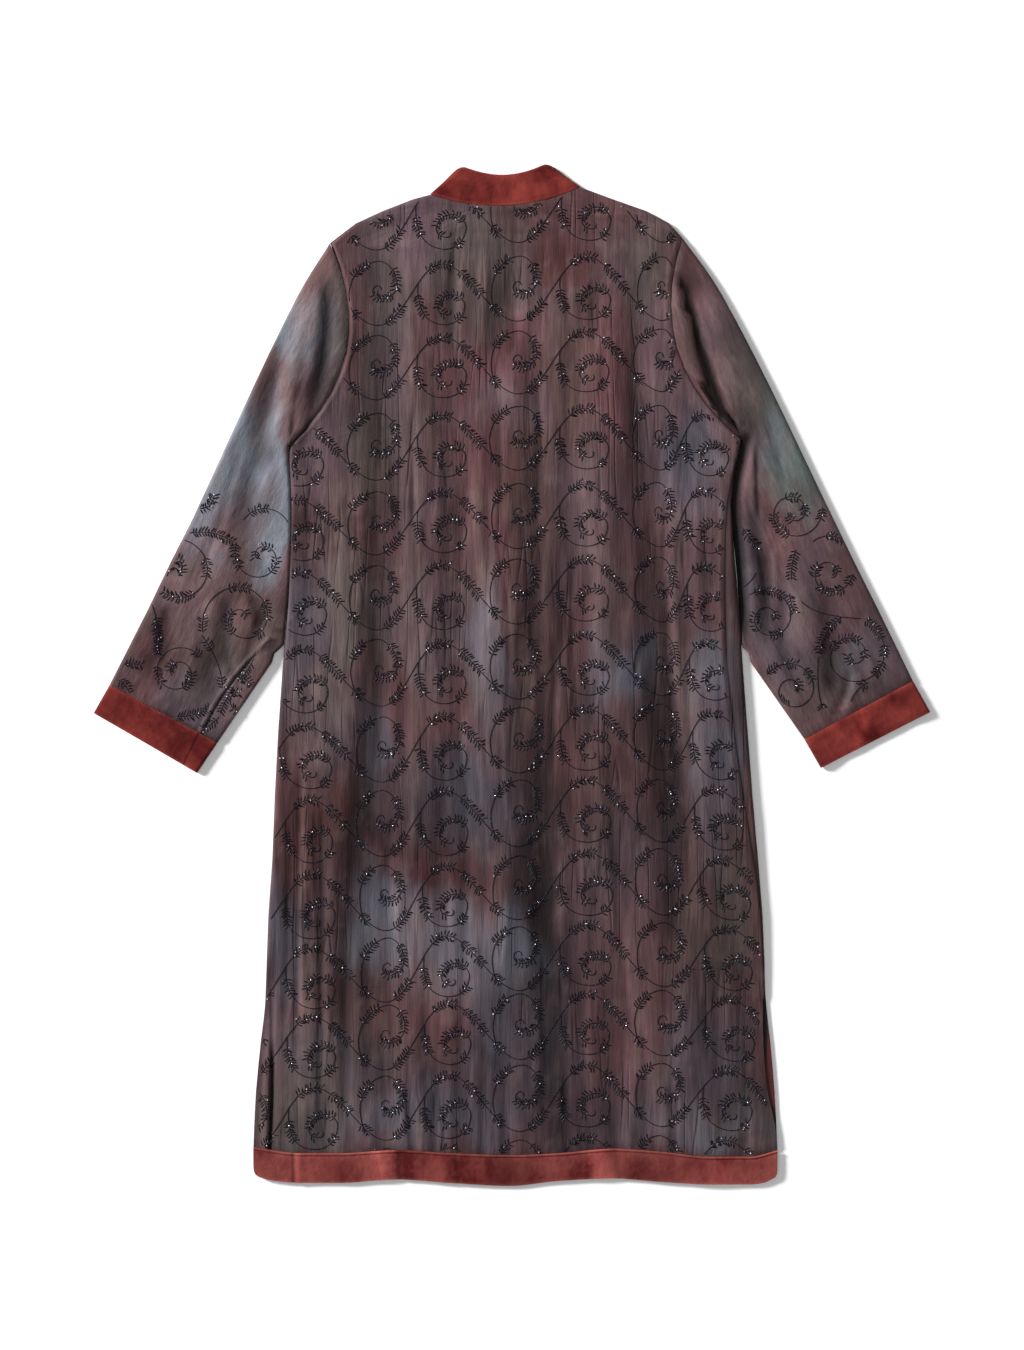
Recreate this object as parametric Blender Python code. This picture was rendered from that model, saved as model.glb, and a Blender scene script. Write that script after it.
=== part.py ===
"""A long coat with a stand collar, laid flat on its front so that its back shows.

+Y points to the collar, +X to the wearer's right side, and the surface it lies on is Z = 0.
Every piece that a maker would cut is one closed solid: a wall of cloth through rows that cross
the coat. Along each row the fronts lie on the floor, the back lies over them in soft folds, and
at the sides the cloth turns round a fold or ends at a vent. Neighbouring pieces share their rows,
so their seams match. Sizes are in millimetres until a mesh is made.
"""

from collections import namedtuple

import bpy
import numpy as np

METRES = 0.001

# Cloth
SILK = 1.5  # lined silk wall
VELVET = 2.2  # velvet trim wall, folded double
FACING = 1.0  # facing wall
SEAM = 0.3  # space between two pieces at a seam
SIDE_SEAM = 0.36  # the same, round the fold at a side seam
ARMHOLE_SEAM = 0.26  # the sleeve's part of it, along the armhole's straight chord
NECK_SEAM = 0.7  # the same along Y, where the neckline is steep
SIDE_SPACE = 1.2  # between a sleeve and the side of the body that it lies against
CENTRE_FRONT_SPACE = 1.0  # the fronts meet edge to edge

# How the coat lies
EDGE_RADIUS = 4.0  # outer radius where the cloth turns at a side, a shoulder or a sleeve
VENT_TOP_RADIUS = 2.6  # the same at the top of a vent
LOFT = 6.0  # usual height of the back's outer face
EDGE_BLEND = 24.0  # width over which a turned edge eases down to the usual height
EDGE_REACH = 14.0  # how far the close columns beside a fold reach round it, from its middle
FOLD_CLEAR = 2.0  # least width between a sleeve's fold and its next column
LEVEL_BLEND = 14.0  # width over which a vent's level edge eases into the folds
MIN_SLANT = 0.6  # sine of the smallest angle at which a row is taken to meet its outline
SHARP_ANGLE = 50.0  # degrees between two faces above which their edge looks sharp

# Neck and collar
BACK_NECK_DROP = 16.0  # depth of the back neckline below its ends
FRONT_NECK_DROP = 78.0
COLLAR_TOP_DROP_BACK = 10.0  # depth of the collar's top edge below its corners
COLLAR_TOP_DROP_FRONT = 66.0

# The vents, of which only the right one opens in the outline
VENT_TOP = -357.0  # Y
VENT_RUN_OUT = 70.0  # length above a vent over which the side's fold gets tighter
FACING_WIDTH = 15.0

# Mesh counts
ARMHOLE_STEPS = 10
SHOULDER_ROWS = 4
NEAR_TIP = 0.18  # where the row beside the shoulder tip lies, as a share of the way to the next
BACK_COLUMNS = 24
FRONT_COLUMNS = 6
EDGE_COLUMNS = 4
FRONT_EDGE_COLUMNS = (4, 7)  # the right front wraps over the side

Station = namedtuple("Station", "place left_x left_y right_x right_y")
SIDE_STATIONS = (
    Station("hem seam", -284.9, -519.2, 292.6, -522.5),
    Station("low vent", -282.7, -467.5, 289.9, -467.5),
    Station("mid vent", -277.8, -412.5, 285.5, -412.5),
    Station("vent top", -271.7, -357.5, 279.9, -358.0),
    Station("hip", -268.4, -269.5, 276.1, -269.5),
    Station("thigh", -262.9, -187.0, 269.5, -187.0),
    Station("waist", -260.2, -110.0, 262.9, -110.0),
    Station("elbow", -254.1, -16.5, 256.3, -16.5),
    Station("sleeve leaves the side", -250.8, 31.9, 252.5, 29.7),
    Station("ribs", -244.2, 110.0, 247.5, 110.0),
    Station("pinch", -243.1, 181.5, 240.9, 187.0),
    Station("armpit", -245.9, 251.9, 251.9, 259.6),
)
SHOULDER_STATIONS = (
    Station("shoulder tip", -200.2, 475.2, 187.6, 480.7),
    Station("outer shoulder", -171.6, 497.2, 172.7, 497.2),
    Station("mid shoulder", -143.0, 510.4, 148.5, 510.4),
    Station("inner shoulder", -108.9, 523.6, 111.1, 523.6),
    Station("neck", -90.2, 528.6, 75.4, 536.8),
)
# How far up from hem seam to armpit the rows lie, close together along the vent
BODY_SHARES = (0.0, 0.022, 0.05, 0.08, 0.115, 0.15, 0.18, 0.20, 0.21, 0.222, 0.26, 0.33, 0.41, 0.50,
               0.59, 0.68, 0.77, 0.86, 0.91, 0.95, 0.978, 0.989, 1.0)

SleeveRow = namedtuple("SleeveRow", "outer_x outer_y inner_x inner_y bow")
SLEEVE_ROWS = {
    "left": (
        SleeveRow(-200.2, 475.2, -245.9, 251.9, 41.0),
        SleeveRow(-229.0, 429.8, -248.0, 251.0, 13.0),
        SleeveRow(-263.0, 363.0, -248.9, 249.8, 0.0),
        SleeveRow(-301.0, 282.0, -249.2, 247.0, 0.0),
        SleeveRow(-324.0, 232.0, -245.5, 196.0, 0.0),
        SleeveRow(-349.0, 177.0, -245.5, 136.0, 0.0),
        SleeveRow(-376.0, 123.5, -248.5, 76.0, 0.0),
        SleeveRow(-402.0, 69.5, -265.0, 11.0, 0.0),
        SleeveRow(-442.8, -10.8, -324.0, -74.4, 0.0),
    ),
    "right": (
        SleeveRow(187.6, 480.7, 251.9, 259.6, 39.6),
        SleeveRow(222.0, 433.4, 254.0, 258.8, 13.0),
        SleeveRow(262.0, 360.8, 254.9, 257.6, 0.0),
        SleeveRow(303.6, 277.0, 255.2, 254.8, 0.0),
        SleeveRow(328.0, 225.5, 245.5, 205.0, 0.0),
        SleeveRow(354.0, 171.5, 245.5, 145.0, 0.0),
        SleeveRow(378.0, 122.0, 250.5, 82.0, 0.0),
        SleeveRow(404.0, 70.0, 263.5, 11.0, 0.0),
        SleeveRow(441.1, -6.2, 321.6, -70.4, 0.0),
    ),
}
# How far down a sleeve its rows lie, close together beside the fold at the armhole
SLEEVE_SHARES = (0.0, 0.024, 0.044, 0.065, 0.09, 0.12, 0.155, 0.205, 0.26, 0.315, 0.375, 0.45, 0.54,
                 0.64, 0.75, 0.87, 1.0)
CuffEnd = namedtuple("CuffEnd", "outer_x outer_y inner_x inner_y")
CUFF_ENDS = {
    "left": CuffEnd(-460.4, -41.8, -346.5, -107.8),
    "right": CuffEnd(460.4, -40.7, 339.9, -102.3),
}
CUFF_SHARES = (0.0, 0.5, 1.0)
SLEEVE_LEAVES_SIDE = 20.0  # Y
BELOW_ARMPIT = 8.0  # a sleeve's rows turn about the armpit within this distance of it

CollarRow = namedtuple("CollarRow", "share left_x left_y right_x right_y")
COLLAR_ROWS = (
    CollarRow(0.0, -90.2, 528.6, 75.4, 536.8),
    CollarRow(0.4, -76.5, 541.5, 61.0, 547.5),
    CollarRow(0.8, -64.0, 554.0, 47.5, 558.0),
    CollarRow(1.0, -57.8, 559.5, 41.0, 562.3),
)

HemPoint = namedtuple("HemPoint", "x seam_y edge_y")
HEM_LINE = (
    HemPoint(-284.9, -519.2, -553.0),
    HemPoint(-233.2, -525.8, -558.8),
    HemPoint(-189.2, -525.8, -558.8),
    HemPoint(-127.6, -522.5, -555.0),
    HemPoint(-68.2, -525.8, -558.8),
    HemPoint(-2.2, -528.0, -562.2),
    HemPoint(52.8, -525.8, -556.6),
    HemPoint(110.0, -520.9, -553.9),
    HemPoint(162.8, -524.2, -557.7),
    HemPoint(217.8, -529.6, -560.5),
    HemPoint(261.8, -529.6, -560.5),
    HemPoint(292.6, -522.5, -556.0),
)
CORNER_LENGTH = 26.0  # along the band, over which its round corner dies out
HEM_WAVE_REACH = 60.0  # how far up the panels the hem's wave dies out
BandRow = namedtuple("BandRow", "share corner_inset")
BAND_ROWS = (
    BandRow(0.0, 0.0),
    BandRow(0.5, 0.3),
    BandRow(0.85, 2.6),
    BandRow(1.0, 8.5),
)

# How far the back's free edge lies inside the outline at each vent, and the height it rests at
VentEdge = namedtuple("VentEdge", "y left_inset right_inset")
VENT_EDGES = (
    VentEdge(-523.0, 0.3, 0.4),
    VentEdge(-506.0, 0.3, 0.4),
    VentEdge(-485.0, 0.3, 1.2),
    VentEdge(-455.0, 0.3, 6.0),
    VentEdge(-420.0, 0.3, 6.0),
    VentEdge(-390.0, 0.3, 4.2),
    VentEdge(-368.0, 0.3, 2.6),
)
VENT_LEVELS = (3.8, 4.9)
VENT_LEVEL_WIDTHS = (3.0, 17.0)
# How far round the fold from its middle the right side seam lies on top
WrapPoint = namedtuple("WrapPoint", "y reach")
RIGHT_WRAP = (
    WrapPoint(-357.0, 2.0),
    WrapPoint(-270.0, 4.0),
    WrapPoint(-187.0, 8.0),
    WrapPoint(-100.0, 15.0),
    WrapPoint(-28.0, 19.0),
    WrapPoint(38.0, 20.0),
    WrapPoint(120.0, 14.0),
    WrapPoint(190.0, 6.0),
    WrapPoint(252.0, 0.3),
)

# The largest folds, each along a curve through three points; a negative rise is a hollow
Fold = namedtuple("Fold", "place x_top y_top x_mid y_mid x_low y_low half_width rise")
FOLDS = (
    Fold("left drape", -142, 470, -145, 180, -187, -360, 17, -2.7),
    Fold("centre drape", 18, 380, 17, 60, 46, -500, 17, -2.6),
    Fold("right drape", 127, 440, 150, 80, 207, -400, 17, -2.7),
    Fold("left panel ridge", -106, 330, -102, 120, -120, -160, 18, 2.0),
    Fold("centre panel ridge", -34, 230, -28, 20, -18, -200, 18, 1.8),
    Fold("right panel ridge", 84, 330, 98, 110, 118, -100, 17, 2.2),
    Fold("right side ridge", 186, 250, 194, 40, 214, -160, 17, 1.8),
    Fold("left side ridge", -184, 240, -192, 60, -222, -160, 18, 1.5),
    Fold("hip ridge left", -120, -230, -96, -300, -60, -400, 22, 1.8),
    Fold("lower left ridge", -214, -260, -224, -380, -228, -500, 15, 1.8),
    Fold("lower right ridge", 120, -210, 138, -330, 160, -480, 18, 1.8),
    Fold("armhole strip right", 178, 430, 188, 375, 214, 300, 10, 1.6),
    Fold("armhole hollow right", 190, 450, 204, 385, 234, 278, 8, -4.2),
    Fold("sleeve head ridge right", 212, 440, 228, 370, 260, 270, 12, 2.6),
    Fold("armhole hollow left", -208, 440, -207, 375, -226, 280, 9, -3.2),
    Fold("sleeve head ridge left", -226, 430, -236, 360, -264, 240, 13, 2.8),
    Fold("upper sleeve hollow left", -255, 365, -280, 250, -308, 140, 13, -2.5),
    Fold("sleeve ridge left", -262, 240, -270, 180, -270, 110, 14, 1.6),
    Fold("lower sleeve hollow left", -310, 110, -326, 30, -342, -50, 13, -2.2),
    Fold("sleeve ridge right", 296, 250, 312, 130, 322, 20, 15, 1.8),
    Fold("lower sleeve hollow right", 345, 110, 350, 40, 362, -40, 13, -2.2),
)
FOLD_RUN_OUT = 0.22  # share of a fold's length over which each of its ends dies out


def ease(share):
    """0 to 1 with level ends."""
    share = np.clip(share, 0.0, 1.0)
    return share * share * (3.0 - 2.0 * share)


def through(at, knots, values):
    """A smooth curve through (knot, value) pairs that never goes past them.

    Cubic pieces, whose slope at a knot is the harmonic mean of the slopes to its neighbours.
    """
    at, knots, values = (np.asarray(a, float) for a in (at, knots, values))
    secant = np.diff(values) / np.diff(knots)
    product = np.maximum(secant[1:] * secant[:-1], 0.0)
    total = np.where(product > 0, secant[1:] + secant[:-1], 1.0)
    slopes = np.concatenate([secant[:1], 2 * product / total, secant[-1:]])
    piece = np.clip(np.searchsorted(knots, at) - 1, 0, len(knots) - 2)
    span = knots[piece + 1] - knots[piece]
    t = np.clip((at - knots[piece]) / span, 0.0, 1.0)
    return (
        values[piece] * (1 + 2 * t) * (1 - t) ** 2
        + slopes[piece] * span * t * (1 - t) ** 2
        + values[piece + 1] * t * t * (3 - 2 * t)
        - slopes[piece + 1] * span * t * t * (1 - t)
    )


def column(table, name):
    return [getattr(row, name) for row in table]


def points_through(at, knots, table, prefix):
    """Points on the smooth curve through a table's prefix_x and prefix_y columns."""
    return np.stack([through(at, knots, column(table, prefix + axis)) for axis in ("_x", "_y")], axis=1)


def side_x(side, y):
    """X of the body's outline below the armpit."""
    return through(y, column(SIDE_STATIONS, side + "_y"), column(SIDE_STATIONS, side + "_x"))


def parabola(share):
    """0 at both ends and 1 in the middle."""
    return 4 * share * (1 - share)


def stepped_parabola(share):
    """The same, straight between the armhole's steps."""
    steps = np.linspace(0.0, 1.0, ARMHOLE_STEPS + 1)
    return np.interp(share, steps, parabola(steps))


def hem_wave(x):
    """The hem seam's distance above the straight line between its ends."""
    xs = column(HEM_LINE, "x")
    seam = column(HEM_LINE, "seam_y")
    return through(x, xs, seam) - np.interp(x, [xs[0], xs[-1]], [seam[0], seam[-1]])


def fold_height(x, y):
    """Sum of the folds: a bell across each fold's curve, which dies out at its two ends."""
    height = np.zeros(np.shape(x))
    for fold in FOLDS:
        t = (y - fold.y_low) / (fold.y_top - fold.y_low)
        middle = (fold.y_mid - fold.y_low) / (fold.y_top - fold.y_low)
        curve = (
            fold.x_low * (t - middle) * (t - 1) / middle
            + fold.x_mid * t * (t - 1) / (middle * (middle - 1))
            + fold.x_top * t * (t - middle) / (1 - middle)
        )
        ends = ease(t / FOLD_RUN_OUT) * ease((1 - t) / FOLD_RUN_OUT)
        height = height + fold.rise * ends * np.exp(-(((x - curve) / fold.half_width) ** 2))
    return height


class Rows:
    """Rows across the coat, each from a left to a right point, bowed along its normal.

    top_bow and floor_bow are the bows of the layer on top and of the one on the floor, which share
    their ends. Where open is 1 the ends are free edges that lie flat, where it is 0 they turn round
    a fold.
    """

    def __init__(self, left, right, top_bow, floor_bow, bow_shape=parabola):
        count = len(left)
        across = right - left
        self.left = left
        self.width = np.linalg.norm(across, axis=1)[:, None]
        self.along = across / self.width
        self.normal = np.stack([-self.along[:, 1], self.along[:, 0]], axis=1)
        self.top_bow = np.broadcast_to(top_bow, count)[:, None]
        self.floor_bow = np.broadcast_to(floor_bow, count)[:, None]
        self.bow_shape = bow_shape
        self.wave = np.zeros((count, 1))
        self.open = np.zeros((count, 1))
        self.vent = np.zeros((count, 1), bool)
        self.radius = np.full((count, 1), EDGE_RADIUS)
        self.free_inset = [np.full((count, 1), SEAM / 2)] * 2
        self.seam_reach = [np.zeros((count, 1))] * 2
        self.slant = [self.edge_slant(left, 1), self.edge_slant(right, -1)]

    def edge_slant(self, edge, sign):
        """Sine of the angle between each row's end and the outline there."""
        outline = np.gradient(edge, axis=0)
        outline /= np.linalg.norm(outline, axis=1)[:, None]
        end = self.along * self.width + sign * 4 * self.top_bow * self.normal
        end /= np.linalg.norm(end, axis=1)[:, None]
        cross = np.abs(end[:, 0] * outline[:, 1] - end[:, 1] * outline[:, 0])
        return np.maximum(cross, MIN_SLANT)[:, None]

    def quarter(self):
        return np.pi * self.radius / 2

    def share_at(self, end, reach, bend_radius):
        """Share across each row of what lies a reach round an end's fold, bent to bend_radius.

        Where the end is open, the same distance is laid flat, from the free edge inwards.
        """
        bend = np.clip(reach, -self.quarter(), self.quarter()) / self.radius
        past = np.maximum(np.abs(reach) - self.quarter(), 0.0)
        turned = self.radius - bend_radius * np.cos(bend) + past
        flat = self.free_inset[end] + np.abs(reach - self.seam_reach[end])
        share = (turned + (flat - turned) * self.open) / (self.width * self.slant[end])
        return share if end == 0 else 1 - share

    def place(self, share, under):
        """(x, y) at a share across each row; under is 0 on the top layer and 1 on the floor.

        The two layers bow alike within the folds at their ends.
        """
        folds = [self.radius / self.width / slant for slant in self.slant]
        between = np.clip((share - folds[0]) / (1 - folds[0] - folds[1]), 0.0, 1.0)
        apart = (self.floor_bow - self.top_bow) * parabola(between)
        offset = self.top_bow * self.bow_shape(share) + under * apart
        x = self.left[:, :1] + share * self.width * self.along[:, :1] + offset * self.normal[:, :1]
        y = self.left[:, 1:] + share * self.width * self.along[:, 1:] + offset * self.normal[:, 1:]
        return x, y + self.wave * hem_wave(x)

    def top_height(self, share, lowest):
        """Height of the top layer: the loft and its folds, eased to the fold or level at each end."""
        x, y = self.place(share, 0.0)
        height = np.maximum(LOFT + fold_height(x, y), lowest)
        for end in (0, 1):
            inset = (share if end == 0 else 1 - share) * self.width * self.slant[end]
            fold = 1 - ease((inset - self.radius) / EDGE_BLEND)
            height = height + (2 * self.radius - height) * fold * (1 - self.open)
            flat = 1 - ease((inset - VENT_LEVEL_WIDTHS[end]) / LEVEL_BLEND)
            height = height + (VENT_LEVELS[end] - height) * flat * self.vent
        return height


class Wall:
    """Collects a piece's columns from one end of its rows to the other, outside and inside."""

    def __init__(self, rows, thickness):
        self.rows = rows
        self.thickness = thickness
        self.outer = []
        self.inner = []

    def add(self, points, share, under, z):
        x, y = self.rows.place(share, under)
        points.append(np.stack(np.broadcast_arrays(x, y, z), axis=-1))

    def floor(self, share):
        self.add(self.outer, share, 1.0, 0.0)
        self.add(self.inner, share, 1.0, self.thickness)

    def top(self, share):
        z = self.rows.top_height(share, 2 * self.thickness + SEAM)
        self.add(self.outer, share, 0.0, z)
        self.add(self.inner, share, 0.0, z - self.thickness)

    def turn(self, end, reach, on_floor=False):
        """Columns beside an end, by how far they lie round the fold from its middle, + on top.

        Where the end is open they lie flat instead, on top or on the floor, and the one with the
        seam's reach lies at the free edge.
        """
        rows, wall = self.rows, self.thickness
        bend = np.clip(reach, -rows.quarter(), rows.quarter()) / rows.radius
        level_part = np.abs(reach) > rows.quarter()
        faces = ((self.outer, rows.radius, 0.0), (self.inner, rows.radius - wall, wall))
        for points, bend_radius, lift in faces:
            share = rows.share_at(end, reach, bend_radius)
            top = rows.top_height(rows.share_at(end, reach, rows.radius), 2 * wall + SEAM) - lift
            bent = rows.radius + bend_radius * np.sin(bend)
            folded = np.where(level_part, np.where(reach > 0, top, lift), bent)
            layer = np.where(reach < 0, 1.0, 0.0)
            free = lift if on_floor else top
            z = folded + (free - folded) * rows.open
            under = layer + (on_floor - layer) * rows.open
            self.add(points, share, under, z)

    def hem_row(self):
        """(x, y) of the first row's points."""
        return np.concatenate(self.outer, axis=1)[0, :, :2]

    def solid(self, name, material, ring=False):
        layers = [np.concatenate(columns, axis=1) for columns in (self.outer, self.inner)]
        solid(name, *layers, material, ring)


def wall_faces(rows, columns, ring):
    """Faces of a wall: the outer grid, the inner grid, split alike, and the rims between them."""

    def corner(layer, row, col):
        return layer * rows * columns + row * columns + col % columns

    faces = []
    spans = columns if ring else columns - 1
    for row in range(rows - 1):
        for col in range(spans):
            quad = [(row, col), (row, col + 1), (row + 1, col + 1), (row + 1, col)]
            for half in (quad[:3], quad[2:] + quad[:1]):
                faces.append([corner(0, *point) for point in half])
                faces.append([corner(1, *point) for point in reversed(half)])
    rims = [
        [(0, col) for col in range(spans + 1)],
        [(rows - 1, spans - col) for col in range(spans + 1)],
    ]
    if not ring:
        rims.append([(row, columns - 1) for row in range(rows)])
        rims.append([(rows - 1 - row, 0) for row in range(rows)])
    for rim in rims:
        for here, after in zip(rim, rim[1:]):
            faces.append([corner(0, *after), corner(0, *here), corner(1, *here), corner(1, *after)])
    return faces


def solid(name, outer, inner, material, ring=False):
    """A closed solid between an outer and an inner grid of points, rows x columns x 3."""
    rows, columns = outer.shape[:2]
    points = np.concatenate([outer.reshape(-1, 3), inner.reshape(-1, 3)])
    mesh = bpy.data.meshes.new(name)
    mesh.from_pydata((points * METRES).tolist(), [], wall_faces(rows, columns, ring))
    if signed_volume(mesh) < 0:
        mesh.flip_normals()
    mesh.shade_smooth()
    mesh.set_sharp_from_angle(angle=np.radians(SHARP_ANGLE))
    mesh.materials.append(material)
    obj = bpy.data.objects.new(name, mesh)
    bpy.data.collections["coat"].objects.link(obj)


def signed_volume(mesh):
    mesh.calc_loop_triangles()
    points = np.array([vertex.co for vertex in mesh.vertices])
    corners = points[np.array([triangle.vertices for triangle in mesh.loop_triangles])]
    return np.linalg.det(corners).sum() / 6


def armhole_points(side):
    """Points up the armhole from above the armpit to the shoulder tip, bowed towards the body."""
    armpit = np.array([getattr(SIDE_STATIONS[-1], side + axis) for axis in ("_x", "_y")])
    tip = np.array([getattr(SHOULDER_STATIONS[0], side + axis) for axis in ("_x", "_y")])
    chord = tip - armpit
    towards = np.array([chord[1], -chord[0]]) / np.linalg.norm(chord)
    if side == "right":
        towards = -towards
    steps = np.linspace(0.0, 1.0, ARMHOLE_STEPS + 1)[1:, None]
    return armpit + steps * chord + SLEEVE_ROWS[side][0].bow * parabola(steps) * towards


def body_rows():
    """Rows of the body from the hem seam up to the collar seam."""
    shares = np.array(BODY_SHARES)
    sides = {}
    for side in ("left", "right"):
        ys = column(SIDE_STATIONS, side + "_y")
        y = ys[0] + shares * (ys[-1] - ys[0])
        lower = np.stack([side_x(side, y), y], axis=1)
        knots = np.arange(len(SHOULDER_STATIONS))
        at = np.linspace(0.0, knots[-1], SHOULDER_ROWS + 1)[1:]
        at = np.concatenate([[NEAR_TIP], at])
        shoulder = points_through(at, knots, SHOULDER_STATIONS, side)
        sides[side] = np.concatenate([lower, armhole_points(side), shoulder])
    middle = (sides["left"][:, 1] + sides["right"][:, 1]) / 2
    armpit = len(shares) - 1
    rise = np.clip((middle - middle[armpit]) / (middle[-1] - middle[armpit]), 0.0, 1.0)
    rows = Rows(sides["left"], sides["right"], -rise * BACK_NECK_DROP, -rise * FRONT_NECK_DROP)
    rows.middle = middle[:, None]
    rows.wave = np.exp(-(rows.middle - middle[0]) / HEM_WAVE_REACH)
    rows.vent = rows.middle < VENT_TOP
    rows.open = rows.vent.astype(float)
    rows.open[armpit:armpit + ARMHOLE_STEPS + 1] = 1.0
    for half_open in (rows.vent.sum(), armpit - 1, armpit + ARMHOLE_STEPS + 1):
        rows.open[half_open] = 0.5
    near_vent = 1 - ease((rows.middle - VENT_TOP) / VENT_RUN_OUT)
    rows.radius = EDGE_RADIUS + (VENT_TOP_RADIUS - EDGE_RADIUS) * near_vent
    rows.seam_at = [
        np.zeros_like(rows.middle),
        np.interp(rows.middle, column(RIGHT_WRAP, "y"), column(RIGHT_WRAP, "reach")),
    ]
    return rows


def spread(first, last, count):
    """Evenly spaced values from first to last in each row."""
    return first + (last - first) * np.linspace(0.0, 1.0, count + 1)


def top_middle(rows, stops):
    """Shares of the back's columns between the close columns at its two ends."""
    ends = [rows.share_at(end, stops[end], rows.radius) for end in (0, 1)]
    return spread(*ends, BACK_COLUMNS)


def floor_half(rows, end):
    """Shares of a front's columns from the centre front to the close columns at its side."""
    centre = 0.5 + (end - 0.5) * CENTRE_FRONT_SPACE / rows.width
    return spread(centre, rows.share_at(end, -EDGE_REACH, rows.radius), FRONT_COLUMNS)


def back_wall(rows):
    """From the left side seam over the top to the right side seam."""
    for end, side in ((0, "left"), (1, "right")):
        inset = np.interp(rows.middle, column(VENT_EDGES, "y"), column(VENT_EDGES, side + "_inset"))
        rows.free_inset[end] = np.where(rows.vent, inset, SEAM / 2)
        rows.seam_reach[end] = rows.seam_at[end] + SIDE_SEAM / 2
    stops = [EDGE_REACH + rows.seam_at[end] for end in (0, 1)]
    reaches = [spread(rows.seam_reach[end], stops[end], EDGE_COLUMNS)[:, :-1] for end in (0, 1)]
    wall = Wall(rows, SILK)
    wall.turn(0, reaches[0])
    wall.top(top_middle(rows, stops))
    wall.turn(1, reaches[1][:, ::-1])
    return wall


def front_wall(rows, end):
    """From the centre front along the floor and round the side to its seam."""
    rows.free_inset[end] = np.full_like(rows.middle, SEAM / 2)
    rows.seam_reach[end] = rows.seam_at[end] - SIDE_SEAM / 2
    wall = Wall(rows, SILK)
    wall.floor(floor_half(rows, end))
    start = np.full_like(rows.middle, -EDGE_REACH)
    wall.turn(end, spread(start, rows.seam_reach[end], FRONT_EDGE_COLUMNS[end])[:, 1:], on_floor=True)
    return wall


def tube(name, rows, material, thickness):
    """A flattened tube of cloth, all round: top, fold, floor, fold."""
    past_fold = rows.quarter() + FOLD_CLEAR
    first = np.maximum(rows.share_at(0, past_fold, rows.radius), 1 / ARMHOLE_STEPS)
    last = np.minimum(rows.share_at(1, past_fold, rows.radius), 1 - 1 / ARMHOLE_STEPS)
    knots = spread(first, last, ARMHOLE_STEPS - 2)
    reach = spread(rows.quarter(), -rows.quarter(), EDGE_COLUMNS)
    wall = Wall(rows, thickness)
    wall.top(knots)
    wall.turn(1, reach)
    wall.floor(knots[:, ::-1])
    wall.turn(0, -reach)
    wall.solid(name, material, ring=True)


def sleeve_rows(side):
    """Rows of a sleeve from the armhole, where it bows towards the body, to the cuff seam."""
    table = SLEEVE_ROWS[side]
    sign = -1.0 if side == "left" else 1.0
    knots = np.linspace(0.0, 1.0, len(table))
    shares = np.array(SLEEVE_SHARES)
    outer = points_through(shares, knots, table, "outer")
    inner = points_through(shares, knots, table, "inner")
    clear = side_x(side, inner[:, 1]) + sign * SIDE_SPACE
    beside = (inner[:, 1] > SLEEVE_LEAVES_SIDE) & (inner[:, 1] < inner[0, 1] - BELOW_ARMPIT)
    inner[:, 0] = np.where(beside, sign * np.maximum(sign * inner[:, 0], sign * clear), inner[:, 0])
    chord = inner[0] - outer[0]
    away = sign * np.array([-chord[1], chord[0]]) / np.linalg.norm(chord) * ARMHOLE_SEAM
    outer[0] += away
    inner[0] += away
    bow = -sign * through(shares, knots, column(table, "bow"))
    return Rows(outer, inner, bow, bow, stepped_parabola)


def cuff_rows(side):
    last, end = SLEEVE_ROWS[side][-1], CUFF_ENDS[side]
    start = np.array([[last.outer_x, last.outer_y], [last.inner_x, last.inner_y]])
    finish = np.array([[end.outer_x, end.outer_y], [end.inner_x, end.inner_y]])
    shares = np.array(CUFF_SHARES)[:, None]
    outer, inner = (start[i] + shares * (finish[i] - start[i]) for i in (0, 1))
    down = (finish - start).mean(axis=0)
    down *= SEAM / np.linalg.norm(down)
    outer[0] += down
    inner[0] += down
    return Rows(outer, inner, 0.0, 0.0)


def collar(body, material):
    """The stand collar: its back half on top, folded at each side to the halves that meet in front."""
    shares = np.array(column(COLLAR_ROWS, "share"))
    left, right = (
        np.array([(getattr(r, side + "_x"), getattr(r, side + "_y")) for r in COLLAR_ROWS])
        for side in ("left", "right")
    )
    top_bow = -(BACK_NECK_DROP + shares * (COLLAR_TOP_DROP_BACK - BACK_NECK_DROP))
    floor_bow = -(FRONT_NECK_DROP + shares * (COLLAR_TOP_DROP_FRONT - FRONT_NECK_DROP))
    left[0, 1] += NECK_SEAM
    right[0, 1] += NECK_SEAM
    top_bow[0] -= NECK_SEAM - SEAM
    floor_bow[0] -= NECK_SEAM - SEAM
    rows = Rows(left, right, top_bow, floor_bow)
    for end in (0, 1):
        rows.slant[end][0] = body.slant[end][-1]
    reaches = []
    for count in FRONT_EDGE_COLUMNS:
        reach = [spread(-EDGE_REACH, 0.0, count)[:-1], spread(0.0, EDGE_REACH, EDGE_COLUMNS)]
        reaches.append(np.tile(np.concatenate(reach), (len(shares), 1)))
    wall = Wall(rows, VELVET)
    wall.floor(floor_half(rows, 0)[:, :-1])
    wall.turn(0, reaches[0])
    wall.top(top_middle(rows, [EDGE_REACH, EDGE_REACH])[:, 1:-1])
    wall.turn(1, reaches[1][:, ::-1])
    wall.floor(floor_half(rows, 1)[:, -2::-1])
    wall.solid("collar", material)


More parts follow.
